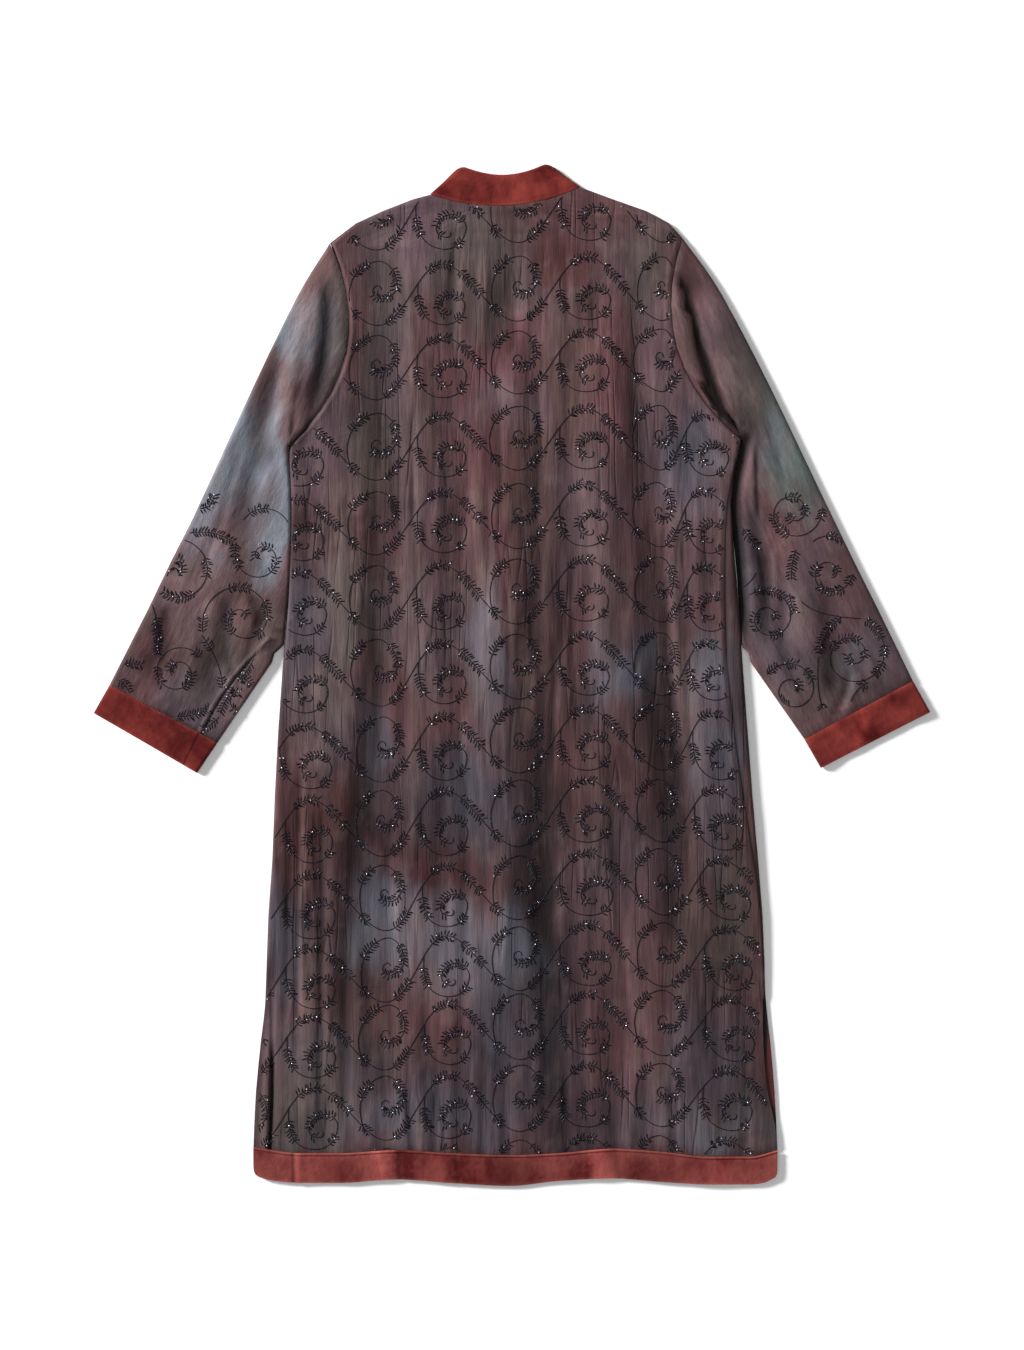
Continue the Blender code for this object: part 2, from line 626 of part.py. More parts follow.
def hem_band(name, seam, on_top, round_ends, material):
    """A length of the band round the hem, hung from the points of the panel's own hem row."""
    near = [np.maximum(1 - np.abs(seam[:, 0] - seam[at, 0]) / CORNER_LENGTH, 0.0) ** 2 for at in (0, -1)]
    corner = round_ends[0] * near[0] - round_ends[1] * near[1]
    share = np.array(column(BAND_ROWS, "share"))[:, None]
    x = seam[:, 0] + np.array(column(BAND_ROWS, "corner_inset"))[:, None] * corner
    xs = column(HEM_LINE, "x")
    depth = through(x, xs, column(HEM_LINE, "seam_y")) - through(x, xs, column(HEM_LINE, "edge_y"))
    y = seam[:, 1] - SEAM - share * (depth - SEAM)
    bottom = np.zeros_like(x)
    if on_top:
        bottom = np.maximum(LOFT + fold_height(x, y) - VELVET, VELVET + SEAM)
    layers = [np.stack([x, y, z], axis=-1) for z in (bottom + VELVET, bottom)]
    solid(name, *layers, material)


def vent_facing(rows, material):
    """The facing that shows inside the right vent, on the inner face of the right front."""
    inset = np.array([[FACING_WIDTH, FACING_WIDTH * 0.5, SEAM]])
    share = 1 - inset / (rows.width * rows.slant[1])
    x, y = (grid[rows.vent[:, 0]] for grid in rows.place(share, 1.0))
    layers = [np.stack([x, y, np.full_like(x, z)], axis=-1) for z in (SILK + SEAM + FACING, SILK + SEAM)]
    solid("vent_facing_right", *layers, material)


def material(name, colour, roughness):
    made = bpy.data.materials.new(name)
    made.use_nodes = True
    made.diffuse_color = (*colour, 1.0)
    shader = made.node_tree.nodes["Principled BSDF"]
    shader.inputs["Base Color"].default_value = (*colour, 1.0)
    shader.inputs["Roughness"].default_value = roughness
    shader.inputs["Metallic"].default_value = 0.0
    return made


def main():
    for obj in list(bpy.data.objects):
        bpy.data.objects.remove(obj)
    coat = bpy.data.collections.new("coat")
    bpy.context.scene.collection.children.link(coat)
    silk = material("dyed_silk", (0.075, 0.050, 0.058), 0.55)
    velvet = material("rust_velvet", (0.190, 0.040, 0.034), 0.85)
    facing = material("dark_red_facing", (0.080, 0.010, 0.010), 0.7)

    body = body_rows()
    back = back_wall(body)
    back.solid("back", silk)
    hem_band("hem_band_back", back.hem_row(), True, (1, 1), velvet)
    for end, side in ((0, "left"), (1, "right")):
        front = front_wall(body, end)
        front.solid("front_" + side, silk)
        corners = (0, -1) if side == "left" else (0, 1)
        hem_band("hem_band_front_" + side, front.hem_row(), False, corners, velvet)
        tube("sleeve_" + side, sleeve_rows(side), silk, SILK)
        tube("cuff_" + side, cuff_rows(side), velvet, VELVET)
    collar(body, velvet)
    vent_facing(body, facing)


main()
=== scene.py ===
# %% [markdown]
# # A long embroidered coat, laid flat on its front
#
# The coat lies on a pale floor with its back up. Its body and sleeves are crinkled silk, tie-dyed
# and embroidered with a running vine, and its collar, cuffs and hem band are rust-red velvet. Each
# piece of cloth is worked out with numpy as a thin closed wall on the form of its own solid, with
# the finer creases added, and stands in for that solid in the picture.
#
# Lengths are in millimetres until a mesh is made: +Y points to the collar, +X to the wearer's right
# side, and the floor is Z = 0.

from collections import namedtuple

import bpy
import numpy as np
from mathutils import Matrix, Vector


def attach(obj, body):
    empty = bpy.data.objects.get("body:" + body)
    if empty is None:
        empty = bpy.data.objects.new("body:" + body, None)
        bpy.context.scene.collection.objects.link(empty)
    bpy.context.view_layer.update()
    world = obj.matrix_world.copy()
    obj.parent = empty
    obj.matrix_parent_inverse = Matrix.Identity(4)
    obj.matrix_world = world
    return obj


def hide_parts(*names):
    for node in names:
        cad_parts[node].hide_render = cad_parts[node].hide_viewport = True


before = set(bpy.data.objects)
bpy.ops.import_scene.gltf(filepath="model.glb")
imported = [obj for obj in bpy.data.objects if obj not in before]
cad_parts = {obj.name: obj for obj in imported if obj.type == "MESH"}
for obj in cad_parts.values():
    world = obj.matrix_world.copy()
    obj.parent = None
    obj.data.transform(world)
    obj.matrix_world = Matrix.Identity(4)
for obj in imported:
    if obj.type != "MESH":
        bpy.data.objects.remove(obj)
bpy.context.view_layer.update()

# %% [markdown]
# ## Sizes of the cloth
#
# A laid coat is a stack of thin layers. The fronts lie on the floor, the back lies over them, and at
# the sides the cloth turns round a fold whose outer radius is half the height of the stack. These
# are the sizes that the solids were made with, so that each visible piece lies on its solid.

# %% Sizes of the cloth
MM = 0.001
SILK = 1.5
VELVET = 2.2
FACING = 1.0
SEAM = 0.3
SIDE_SEAM = 0.36
ARMHOLE_SEAM = 0.26
NECK_SEAM = 0.7
SIDE_SPACE = 0.25
CENTRE_FRONT_SPACE = 1.0
EDGE_RADIUS = 4.0
VENT_TOP_RADIUS = 2.6
LOFT = 6.0
EDGE_BLEND = 24.0
EDGE_REACH = 14.0
LEVEL_BLEND = 14.0
MIN_SLANT = 0.6
BACK_NECK_DROP = 16.0
FRONT_NECK_DROP = 78.0
COLLAR_TOP_DROP_BACK = 10.0
COLLAR_TOP_DROP_FRONT = 66.0
VENT_TOP = -357.0
VENT_RUN_OUT = 70.0
FACING_WIDTH = 15.0
ARMHOLE_STEPS = 10
SHOULDER_ROWS = 4
NEAR_TIP = 0.18

# %% [markdown]
# ## The cut of the body
#
# Rows cross the coat from side to side, from the hem seam up to the collar seam. A table gives
# where each station's row starts and ends on the two sides, and a smooth curve runs through them.

# %% Stations of the body
Station = namedtuple("Station", "place left_x left_y right_x right_y")
SIDE_STATIONS = (
    Station("hem seam", -284.9, -519.2, 292.6, -522.5),
    Station("low vent", -282.7, -467.5, 289.9, -467.5),
    Station("mid vent", -277.8, -412.5, 285.5, -412.5),
    Station("vent top", -271.7, -357.5, 279.9, -358.0),
    Station("hip", -268.4, -269.5, 276.1, -269.5),
    Station("thigh", -262.9, -187.0, 269.5, -187.0),
    Station("waist", -260.2, -110.0, 262.9, -110.0),
    Station("elbow", -254.1, -16.5, 256.3, -16.5),
    Station("sleeve leaves the side", -250.8, 31.9, 252.5, 29.7),
    Station("ribs", -244.2, 110.0, 247.5, 110.0),
    Station("pinch", -243.1, 181.5, 240.9, 187.0),
    Station("armpit", -245.9, 251.9, 251.9, 259.6),
)
SHOULDER_STATIONS = (
    Station("shoulder tip", -200.2, 475.2, 187.6, 480.7),
    Station("outer shoulder", -171.6, 497.2, 172.7, 497.2),
    Station("mid shoulder", -143.0, 510.4, 148.5, 510.4),
    Station("inner shoulder", -108.9, 523.6, 111.1, 523.6),
    Station("neck", -90.2, 528.6, 75.4, 536.8),
)
BODY_SHARES = (0.0, 0.022, 0.05, 0.08, 0.115, 0.15, 0.18, 0.20, 0.21, 0.222, 0.26, 0.33, 0.41, 0.50,
               0.59, 0.68, 0.77, 0.86, 0.91, 0.95, 0.978, 0.989, 1.0)
VentEdge = namedtuple("VentEdge", "y left_inset right_inset")
VENT_EDGES = (
    VentEdge(-523.0, 0.3, 0.4),
    VentEdge(-506.0, 0.3, 0.4),
    VentEdge(-485.0, 0.3, 3.0),
    VentEdge(-455.0, 0.3, 8.6),
    VentEdge(-420.0, 0.3, 9.2),
    VentEdge(-390.0, 0.3, 7.4),
    VentEdge(-368.0, 0.3, 4.6),
)
VENT_LEVELS = (3.8, 4.9)
VENT_LEVEL_WIDTHS = (3.0, 17.0)
WrapPoint = namedtuple("WrapPoint", "y reach")
RIGHT_WRAP = (
    WrapPoint(-357.0, 2.0),
    WrapPoint(-270.0, 4.0),
    WrapPoint(-187.0, 8.0),
    WrapPoint(-100.0, 15.0),
    WrapPoint(-28.0, 19.0),
    WrapPoint(38.0, 20.0),
    WrapPoint(120.0, 14.0),
    WrapPoint(190.0, 6.0),
    WrapPoint(252.0, 0.3),
)
HemPoint = namedtuple("HemPoint", "x seam_y edge_y")
HEM_LINE = (
    HemPoint(-284.9, -519.2, -553.0),
    HemPoint(-233.2, -525.8, -558.8),
    HemPoint(-189.2, -525.8, -558.8),
    HemPoint(-127.6, -522.5, -555.0),
    HemPoint(-68.2, -525.8, -558.8),
    HemPoint(-2.2, -528.0, -562.2),
    HemPoint(52.8, -525.8, -556.6),
    HemPoint(110.0, -520.9, -553.9),
    HemPoint(162.8, -524.2, -557.7),
    HemPoint(217.8, -529.6, -560.5),
    HemPoint(261.8, -529.6, -560.5),
    HemPoint(292.6, -522.5, -556.0),
)
HEM_WAVE_REACH = 60.0

# %% [markdown]
# ## The cut of the sleeves, cuffs and collar
#
# A sleeve's rows run from its outer fold to its underarm fold. At the top they bow towards the body
# as the armhole does, and they turn about the armpit before they run down to the cuff.

# %% Rows of the sleeves, cuffs and collar
SleeveRow = namedtuple("SleeveRow", "outer_x outer_y inner_x inner_y bow")
SLEEVE_ROWS = {
    "left": (
        SleeveRow(-200.2, 475.2, -245.9, 251.9, 41.0),
        SleeveRow(-229.0, 429.8, -248.0, 251.0, 13.0),
        SleeveRow(-263.0, 363.0, -248.9, 249.8, 0.0),
        SleeveRow(-301.0, 282.0, -249.2, 247.0, 0.0),
        SleeveRow(-324.0, 232.0, -245.5, 196.0, 0.0),
        SleeveRow(-349.0, 177.0, -245.5, 136.0, 0.0),
        SleeveRow(-376.0, 123.5, -248.5, 76.0, 0.0),
        SleeveRow(-402.0, 69.5, -265.0, 11.0, 0.0),
        SleeveRow(-442.8, -10.8, -324.0, -74.4, 0.0),
    ),
    "right": (
        SleeveRow(187.6, 480.7, 251.9, 259.6, 39.6),
        SleeveRow(222.0, 433.4, 254.0, 258.8, 13.0),
        SleeveRow(262.0, 360.8, 254.9, 257.6, 0.0),
        SleeveRow(303.6, 277.0, 255.2, 254.8, 0.0),
        SleeveRow(328.0, 225.5, 245.5, 205.0, 0.0),
        SleeveRow(354.0, 171.5, 245.5, 145.0, 0.0),
        SleeveRow(378.0, 122.0, 250.5, 82.0, 0.0),
        SleeveRow(404.0, 70.0, 263.5, 11.0, 0.0),
        SleeveRow(441.1, -6.2, 321.6, -70.4, 0.0),
    ),
}
SLEEVE_SHARES = (0.0, 0.024, 0.044, 0.065, 0.09, 0.12, 0.155, 0.205, 0.26, 0.315, 0.375, 0.45, 0.54,
                 0.64, 0.75, 0.87, 1.0)
CuffEnd = namedtuple("CuffEnd", "outer_x outer_y inner_x inner_y")
CUFF_ENDS = {
    "left": CuffEnd(-460.4, -41.8, -346.5, -107.8),
    "right": CuffEnd(460.4, -40.7, 339.9, -102.3),
}
SLEEVE_LEAVES_SIDE = 20.0
BELOW_ARMPIT = 1.0
CollarRow = namedtuple("CollarRow", "share left_x left_y right_x right_y")
COLLAR_ROWS = (
    CollarRow(0.0, -90.2, 528.6, 75.4, 536.8),
    CollarRow(0.4, -76.5, 541.5, 61.0, 547.5),
    CollarRow(0.8, -64.0, 554.0, 47.5, 558.0),
    CollarRow(0.92, -60.2, 557.0, 43.6, 560.2),
    CollarRow(0.98, -56.6, 558.7, 40.2, 561.6),
    CollarRow(1.0, -52.6, 559.2, 36.0, 562.0),
)
BandRow = namedtuple("BandRow", "share corner_inset")
BAND_ROWS = (
    BandRow(0.0, 0.0),
    BandRow(0.6, 0.1),
    BandRow(0.8, 0.9),
    BandRow(0.92, 3.0),
    BandRow(1.0, 8.0),
)
CORNER_LENGTH = 20.0

# %% [markdown]
# ## Folds and creases
#
# The large folds are those of the solids. The finer creases are listed one by one, each along a
# curve through three points, as a soft bell across its length that dies out at both ends. They differ
# in length, depth and spacing, as creases in worn silk do.

# %% Folds and creases
Fold = namedtuple("Fold", "place x_top y_top x_mid y_mid x_low y_low half_width rise")
FOLDS = (
    Fold("left drape", -142, 470, -145, 180, -187, -360, 17, -2.7),
    Fold("centre drape", 18, 380, 17, 60, 46, -500, 17, -2.6),
    Fold("right drape", 127, 440, 150, 80, 207, -400, 17, -2.7),
    Fold("left panel ridge", -106, 330, -102, 120, -120, -160, 18, 2.0),
    Fold("centre panel ridge", -34, 230, -28, 20, -18, -200, 18, 1.8),
    Fold("right panel ridge", 84, 330, 98, 110, 118, -100, 17, 2.2),
    Fold("right side ridge", 186, 250, 194, 40, 214, -160, 17, 1.8),
    Fold("left side ridge", -184, 240, -192, 60, -222, -160, 18, 1.5),
    Fold("hip ridge left", -120, -230, -96, -300, -60, -400, 22, 1.8),
    Fold("lower left ridge", -214, -260, -224, -380, -228, -500, 15, 1.8),
    Fold("lower right ridge", 120, -210, 138, -330, 160, -480, 18, 1.8),
    Fold("armhole strip right", 178, 430, 188, 375, 214, 300, 10, 1.6),
    Fold("armhole hollow right", 190, 450, 204, 385, 234, 278, 8, -4.2),
    Fold("sleeve head ridge right", 212, 440, 228, 370, 260, 270, 12, 2.6),
    Fold("armhole hollow left", -208, 440, -207, 375, -226, 280, 9, -3.2),
    Fold("sleeve head ridge left", -226, 430, -236, 360, -264, 240, 13, 2.8),
    Fold("upper sleeve hollow left", -255, 365, -280, 250, -308, 140, 13, -2.5),
    Fold("sleeve ridge left", -262, 240, -270, 180, -270, 110, 14, 1.6),
    Fold("lower sleeve hollow left", -310, 110, -326, 30, -342, -50, 13, -2.2),
    Fold("sleeve ridge right", 296, 250, 312, 130, 322, 20, 15, 1.8),
    Fold("lower sleeve hollow right", 345, 110, 350, 40, 362, -40, 13, -2.2),
)
CREASES = (
    Fold("crease by the left edge", -268, -300, -265, -395, -264, -480, 1.8, -2.0),
    Fold("deep crease by the left edge", -264, -400, -264, -470, -269, -550, 1.8, -4.6),
    Fold("ridge beside it", -271, -340, -271, -440, -275, -550, 3.4, 1.2),
    Fold("swell inside the crease", -257, -360, -256, -450, -260, -540, 4.5, 1.0),
    Fold("thin crease right of centre", 104, -40, 113, -225, 132, -415, 5.5, -1.3),
    Fold("thin crease left of centre", -73, 90, -75, -50, -74, -180, 4.5, -1.1),
    Fold("hip crease one", -233, -70, -236, -260, -239, -450, 3.4, -1.7),
    Fold("hip crease two", -209, -130, -210, -320, -213, -505, 4.0, -1.7),
    Fold("hip crease three", -250, -150, -248, -280, -254, -420, 4.0, -1.0),
    Fold("low crease left", -147, -380, -140, -440, -131, -515, 5.0, -1.1),
    Fold("low crease right", 212, -345, 213, -385, 215, -430, 4.0, -1.1),
    Fold("low crease centre", -52, -330, -60, -420, -58, -510, 5.0, -0.9),
    Fold("low crease by the right vent", 248, -300, 252, -380, 262, -500, 5.0, -0.9),
    Fold("hip swell one", -226, -60, -229, -250, -232, -440, 5.5, 1.4),
    Fold("hip swell two", -200, -150, -202, -320, -205, -500, 6.5, 1.4),
    Fold("hip crease four", -186, -240, -184, -360, -190, -520, 5.0, -1.8),
    Fold("hip swell three", -172, -260, -172, -380, -176, -520, 6.0, 1.2),
    Fold("hem gather one", -120, -450, -113, -490, -110, -540, 3.6, -1.6),
    Fold("hem gather two", -104, -460, -100, -495, -99, -540, 3.6, 1.4),
    Fold("hem gather three", -88, -450, -86, -490, -88, -540, 3.6, -1.4),
    Fold("hem gather four", 172, -440, 176, -490, 178, -540, 4.5, -1.3),
    Fold("hem gather five", 60, -440, 56, -490, 58, -540, 4.5, -1.1),
    Fold("centre crease one", -112, 300, -110, 220, -112, 140, 3.2, -1.8),
    Fold("centre crease two", -86, 320, -84, 250, -88, 170, 3.0, -1.6),
    Fold("centre crease three", -30, 220, -26, 130, -30, 40, 3.2, -1.6),
    Fold("centre crease four", 26, 340, 30, 250, 26, 150, 3.4, -1.7),
    Fold("centre crease five", 44, 60, 46, -30, 42, -120, 3.4, -1.6),
    Fold("centre crease six", -8, 120, -4, 40, -8, -60, 3.2, -1.5),
    Fold("side crease right", 168, 130, 172, 10, 182, -120, 4.0, -1.7),
    Fold("side swell right", 180, 140, 184, 10, 194, -120, 5.0, 1.2),
    Fold("neck crease left", -60, 500, -66, 420, -64, 330, 5.0, -0.8),
    Fold("neck crease right", 50, 500, 62, 400, 58, 300, 5.0, -0.8),
    Fold("back crease one", -20, 330, -14, 230, -16, 120, 4.5, -0.9),
    Fold("back crease two", 70, 150, 66, 40, 74, -90, 4.5, -0.9),
    Fold("back crease three", -46, -60, -50, -160, -44, -280, 4.5, -0.9),
    Fold("back crease four", 4, -180, -2, -300, 6, -430, 4.0, -0.8),
    Fold("lip beside the deep fold", 198, 440, 221, 346, 250, 274, 4.5, 2.0),
    Fold("inner lip beside the deep fold", 180, 430, 203, 346, 222, 290, 3.6, 1.4),
    Fold("deep fold by the left armhole", -204, 440, -205, 372, -218, 300, 4.0, -4.0),
    Fold("lip beside the left deep fold", -215, 430, -216, 372, -230, 306, 5.0, 1.8),
    Fold("underarm seam left", -210, 84, -309, -10, -350, -115, 1.3, -2.1),
    Fold("swell beside the underarm seam", -215, 84, -314, -10, -355, -115, 2.4, 1.0),
    Fold("hollow in the left scroll", -288, 92, -281, 71, -274, 48, 7.0, -2.2),
    Fold("left sleeve dent one", -314, 92, -315, 50, -317, 8, 6.0, -1.6),
    Fold("left sleeve swell one", -332, 88, -333, 52, -332, 16, 7.0, 1.2),
    Fold("left sleeve dent two", -318, 26, -308, 3, -297, -22, 3.6, -1.6),
    Fold("left sleeve swell two", -327, 14, -318, -6, -308, -26, 4.5, 1.2),
    Fold("left sleeve dent three", -379, 84, -382, 48, -384, 8, 8.0, -1.4),
    Fold("left sleeve dent four", -398, 30, -394, 4, -380, -24, 7.0, -1.2),
    Fold("left sleeve dent five", -262, 66, -259, 40, -268, 10, 6.0, -1.4),
    Fold("thin fold by the right armpit", 268, 262, 270, 215, 272, 165, 3.0, -1.3),
    Fold("swell beside it", 262, 262, 264, 215, 265, 165, 4.0, 0.6),
    Fold("right sleeve hollow one", 276, 146, 279, 92, 280, 30, 8.0, -2.0),
    Fold("right sleeve swell one", 290, 142, 289, 118, 292, 90, 5.0, 1.2),
    Fold("right sleeve crease by the cuff", 371, 8, 364, -24, 346, -54, 3.6, -2.0),
    Fold("right sleeve swell by the cuff", 379, 6, 374, -20, 362, -44, 5.5, 1.4),
    Fold("right sleeve hollow two", 347, 48, 349, 16, 352, -22, 7.0, -1.8),
    Fold("right sleeve swell two", 318, 96, 317, 60, 322, 18, 8.0, 1.0),
    Fold("armpit crease right one", 216, 352, 224, 320, 238, 292, 4.0, -1.0),
    Fold("armpit crease right two", 196, 300, 216, 262, 238, 236, 5.0, -0.9),
    Fold("armpit crease left", -212, 330, -226, 268, -240, 226, 5.0, -1.0),
    Fold("sleeve crease left one", -232, 330, -240, 286, -244, 240, 4.5, -1.3),
    Fold("sleeve crease left two", -300, 250, -322, 170, -352, 90, 5.5, -1.1),
    Fold("sleeve crease left three", -262, 90, -284, 40, -296, -20, 6.0, -1.4),
    Fold("sleeve crease left four", -380, 80, -386, 40, -372, -10, 7.0, -1.1),
    Fold("sleeve crease left five", -352, 60, -356, 10, -374, -40, 6.0, 1.0),
    Fold("sleeve crease right one", 268, 330, 292, 240, 306, 160, 6.0, -1.2),
    Fold("sleeve crease right two", 262, 190, 276, 120, 282, 60, 5.5, -1.4),
    Fold("sleeve crease right three", 302, 100, 296, 50, 316, -20, 6.0, -1.3),
    Fold("sleeve crease right four", 380, 60, 392, 20, 396, -20, 6.5, 1.0),
    Fold("sleeve crease right five", 330, 240, 352, 160, 380, 90, 7.0, -0.9),
)
STEEP_FOLDS = (
    Fold("deep fold by the right armhole", 184, 450, 212, 344, 240, 262, 4.2, -6.6),
    Fold("its lower end", 219, 318, 235, 287, 252, 266, 4.2, -5.5),
    Fold("second deep fold", 204.5, 327, 215, 309, 226, 289, 2.4, -5.0),
)
FOLD_RUN_OUT = 0.22


def ease(share):
    """0 to 1 with level ends: 3 s^2 - 2 s^3."""
    share = np.clip(share, 0.0, 1.0)
    return share * share * (3.0 - 2.0 * share)


def bells(folds, x, y, steepness=2):
    """Sum over the folds of rise * bell(distance across / half width), eased to 0 at both ends.

    Each fold's curve gives x as the parabola in y through its three points. The bell is
    exp(-|distance|^steepness), so a high steepness gives a flat floor between steep sides.
    """
    height = np.zeros(np.shape(x))
    for fold in folds:
        t = (y - fold.y_low) / (fold.y_top - fold.y_low)
        middle = (fold.y_mid - fold.y_low) / (fold.y_top - fold.y_low)
        curve = (
            fold.x_low * (t - middle) * (t - 1) / middle
            + fold.x_mid * t * (t - 1) / (middle * (middle - 1))
            + fold.x_top * t * (t - middle) / (1 - middle)
        )
        ends = ease(t / FOLD_RUN_OUT) * ease((1 - t) / FOLD_RUN_OUT)
        height = height + fold.rise * ends * np.exp(-np.abs((x - curve) / fold.half_width) ** steepness)
    return height


LATTICE = 64
LATTICE_SHIFT = (31.7, 17.3)


def cloudy(x, y, size_x, size_y, seed):
    """Smooth noise from -1 to 1: random values on a lattice of the given size, eased between."""
    lattice = np.random.default_rng(seed).uniform(-1.0, 1.0, (LATTICE, LATTICE))
    u, v = x / size_x + LATTICE_SHIFT[0], y / size_y + LATTICE_SHIFT[1]
    column_at, row_at = np.floor(u).astype(int), np.floor(v).astype(int)
    across, up = ease(u - column_at), ease(v - row_at)

    def value(right, above):
        return lattice[(row_at + above) % LATTICE, (column_at + right) % LATTICE]

    low = value(0, 0) + across * (value(1, 0) - value(0, 0))
    high = value(0, 1) + across * (value(1, 1) - value(0, 1))
    return low + up * (high - low)


def thin_lines(noise, width):
    """0 to 1: a line along each place where a noise passes through 0."""
    return np.maximum(1.0 - np.abs(noise) / width, 0.0)


# Width, length and seed of each noise
CRINKLE_NOISE = {
    "drift": (70.0, 180.0, 11),
    "patch": (45.0, 95.0, 15),
    "other patch": (34.0, 70.0, 16),
    "fine": (6.0, 60.0, 12),
    "broad": (12.5, 115.0, 13),
    "wide": (31.0, 210.0, 17),
    "lines": (24.0, 150.0, 14),
}
CRINKLE_DRIFT = 8.0
CRINKLE_LINE_WIDTH = 0.16
CENTRE_REACH = 140.0
LOW_LEFT_X = -225.0
LOW_LEFT_REACH = 60.0
SMOOTH_ABOVE = 430.0
SMOOTHER = 0.65


def crinkle(x, y):
    """Height of the crinkles that run down the cloth, patchy, strongest in the middle and low left."""
    u = x + CRINKLE_DRIFT * cloudy(x, y, *CRINKLE_NOISE["drift"])
    patch = ease(0.5 + 0.9 * cloudy(x, y, *CRINKLE_NOISE["patch"]))
    other_patch = ease(0.5 + 0.9 * cloudy(x, y, *CRINKLE_NOISE["other patch"]))
    fine, broad, wide, slow = (
        cloudy(u, y, *CRINKLE_NOISE[name]) for name in ("fine", "broad", "wide", "lines")
    )
    lines = thin_lines(slow, CRINKLE_LINE_WIDTH)
    centre = np.exp(-((x / CENTRE_REACH) ** 2))
    low_left = np.exp(-(((x - LOW_LEFT_X) / LOW_LEFT_REACH) ** 2)) * ease((-100.0 - y) / 150.0)
    strength = (0.6 + 0.4 * centre + 0.4 * low_left) * (1 - SMOOTHER * ease((y - SMOOTH_ABOVE) / 70.0))
    small = 0.6 * fine * patch + 1.15 * broad * (0.4 + 0.9 * other_patch) - 0.8 * lines * patch
    return strength * small + 0.7 * wide


print(len(FOLDS), "large folds and", len(CREASES), "creases")

# %% [markdown]
# ## Rows across the cloth
#
# A row is a straight line between two folds, bowed along its normal where a neckline or an armhole
# bows it. The same object gives points on the top layer and on the floor layer, and the height of
# the top layer, so a piece and its neighbour agree about where their seam lies. Finer rows are put
# in between the solids' own rows, on straight lines, so that the new walls lie on the solids.

# %% Smooth curves through tables
def through(at, knots, values):
    """A smooth curve through (knot, value) pairs that never goes past them.

    Cubic pieces, whose slope at a knot is the harmonic mean of the slopes to its neighbours.
    """
    at, knots, values = (np.asarray(a, float) for a in (at, knots, values))
    secant = np.diff(values) / np.diff(knots)
    product = np.maximum(secant[1:] * secant[:-1], 0.0)
    total = np.where(product > 0, secant[1:] + secant[:-1], 1.0)
    slopes = np.concatenate([secant[:1], 2 * product / total, secant[-1:]])
    part = np.clip(np.searchsorted(knots, at) - 1, 0, len(knots) - 2)
    span = knots[part + 1] - knots[part]
    t = np.clip((at - knots[part]) / span, 0.0, 1.0)
    return (
        values[part] * (1 + 2 * t) * (1 - t) ** 2
        + slopes[part] * span * t * (1 - t) ** 2
        + values[part + 1] * t * t * (3 - 2 * t)
        - slopes[part + 1] * span * t * t * (1 - t)
    )


def column(table, name):
    """One column of a table, by its name."""
    return [getattr(row, name) for row in table]


def points_through(at, knots, table, prefix):
    """Points on the smooth curve through a table's prefix_x and prefix_y columns."""
    return np.stack([through(at, knots, column(table, prefix + axis)) for axis in ("_x", "_y")], axis=1)


def side_x(side, y):
    """X of the body's outline below the armpit."""
    return through(y, column(SIDE_STATIONS, side + "_y"), column(SIDE_STATIONS, side + "_x"))


def parabola(share):
    """0 at both ends and 1 in the middle: 4 s (1 - s)."""
    return 4 * share * (1 - share)


def stepped_parabola(share):
    """The same, straight between the armhole's steps."""
    steps = np.linspace(0.0, 1.0, ARMHOLE_STEPS + 1)
    return np.interp(share, steps, parabola(steps))


def hem_wave(x):
    """The hem seam's distance above the straight line between its ends."""
    xs = column(HEM_LINE, "x")
    seam = column(HEM_LINE, "seam_y")
    return through(x, xs, seam) - np.interp(x, [xs[0], xs[-1]], [seam[0], seam[-1]])


# %% [markdown]
# One class holds the rows of a piece. It knows how far each end's fold or free edge lies from the
# piece's outline, so a seam that wraps round a fold can be placed by its distance along the cloth.

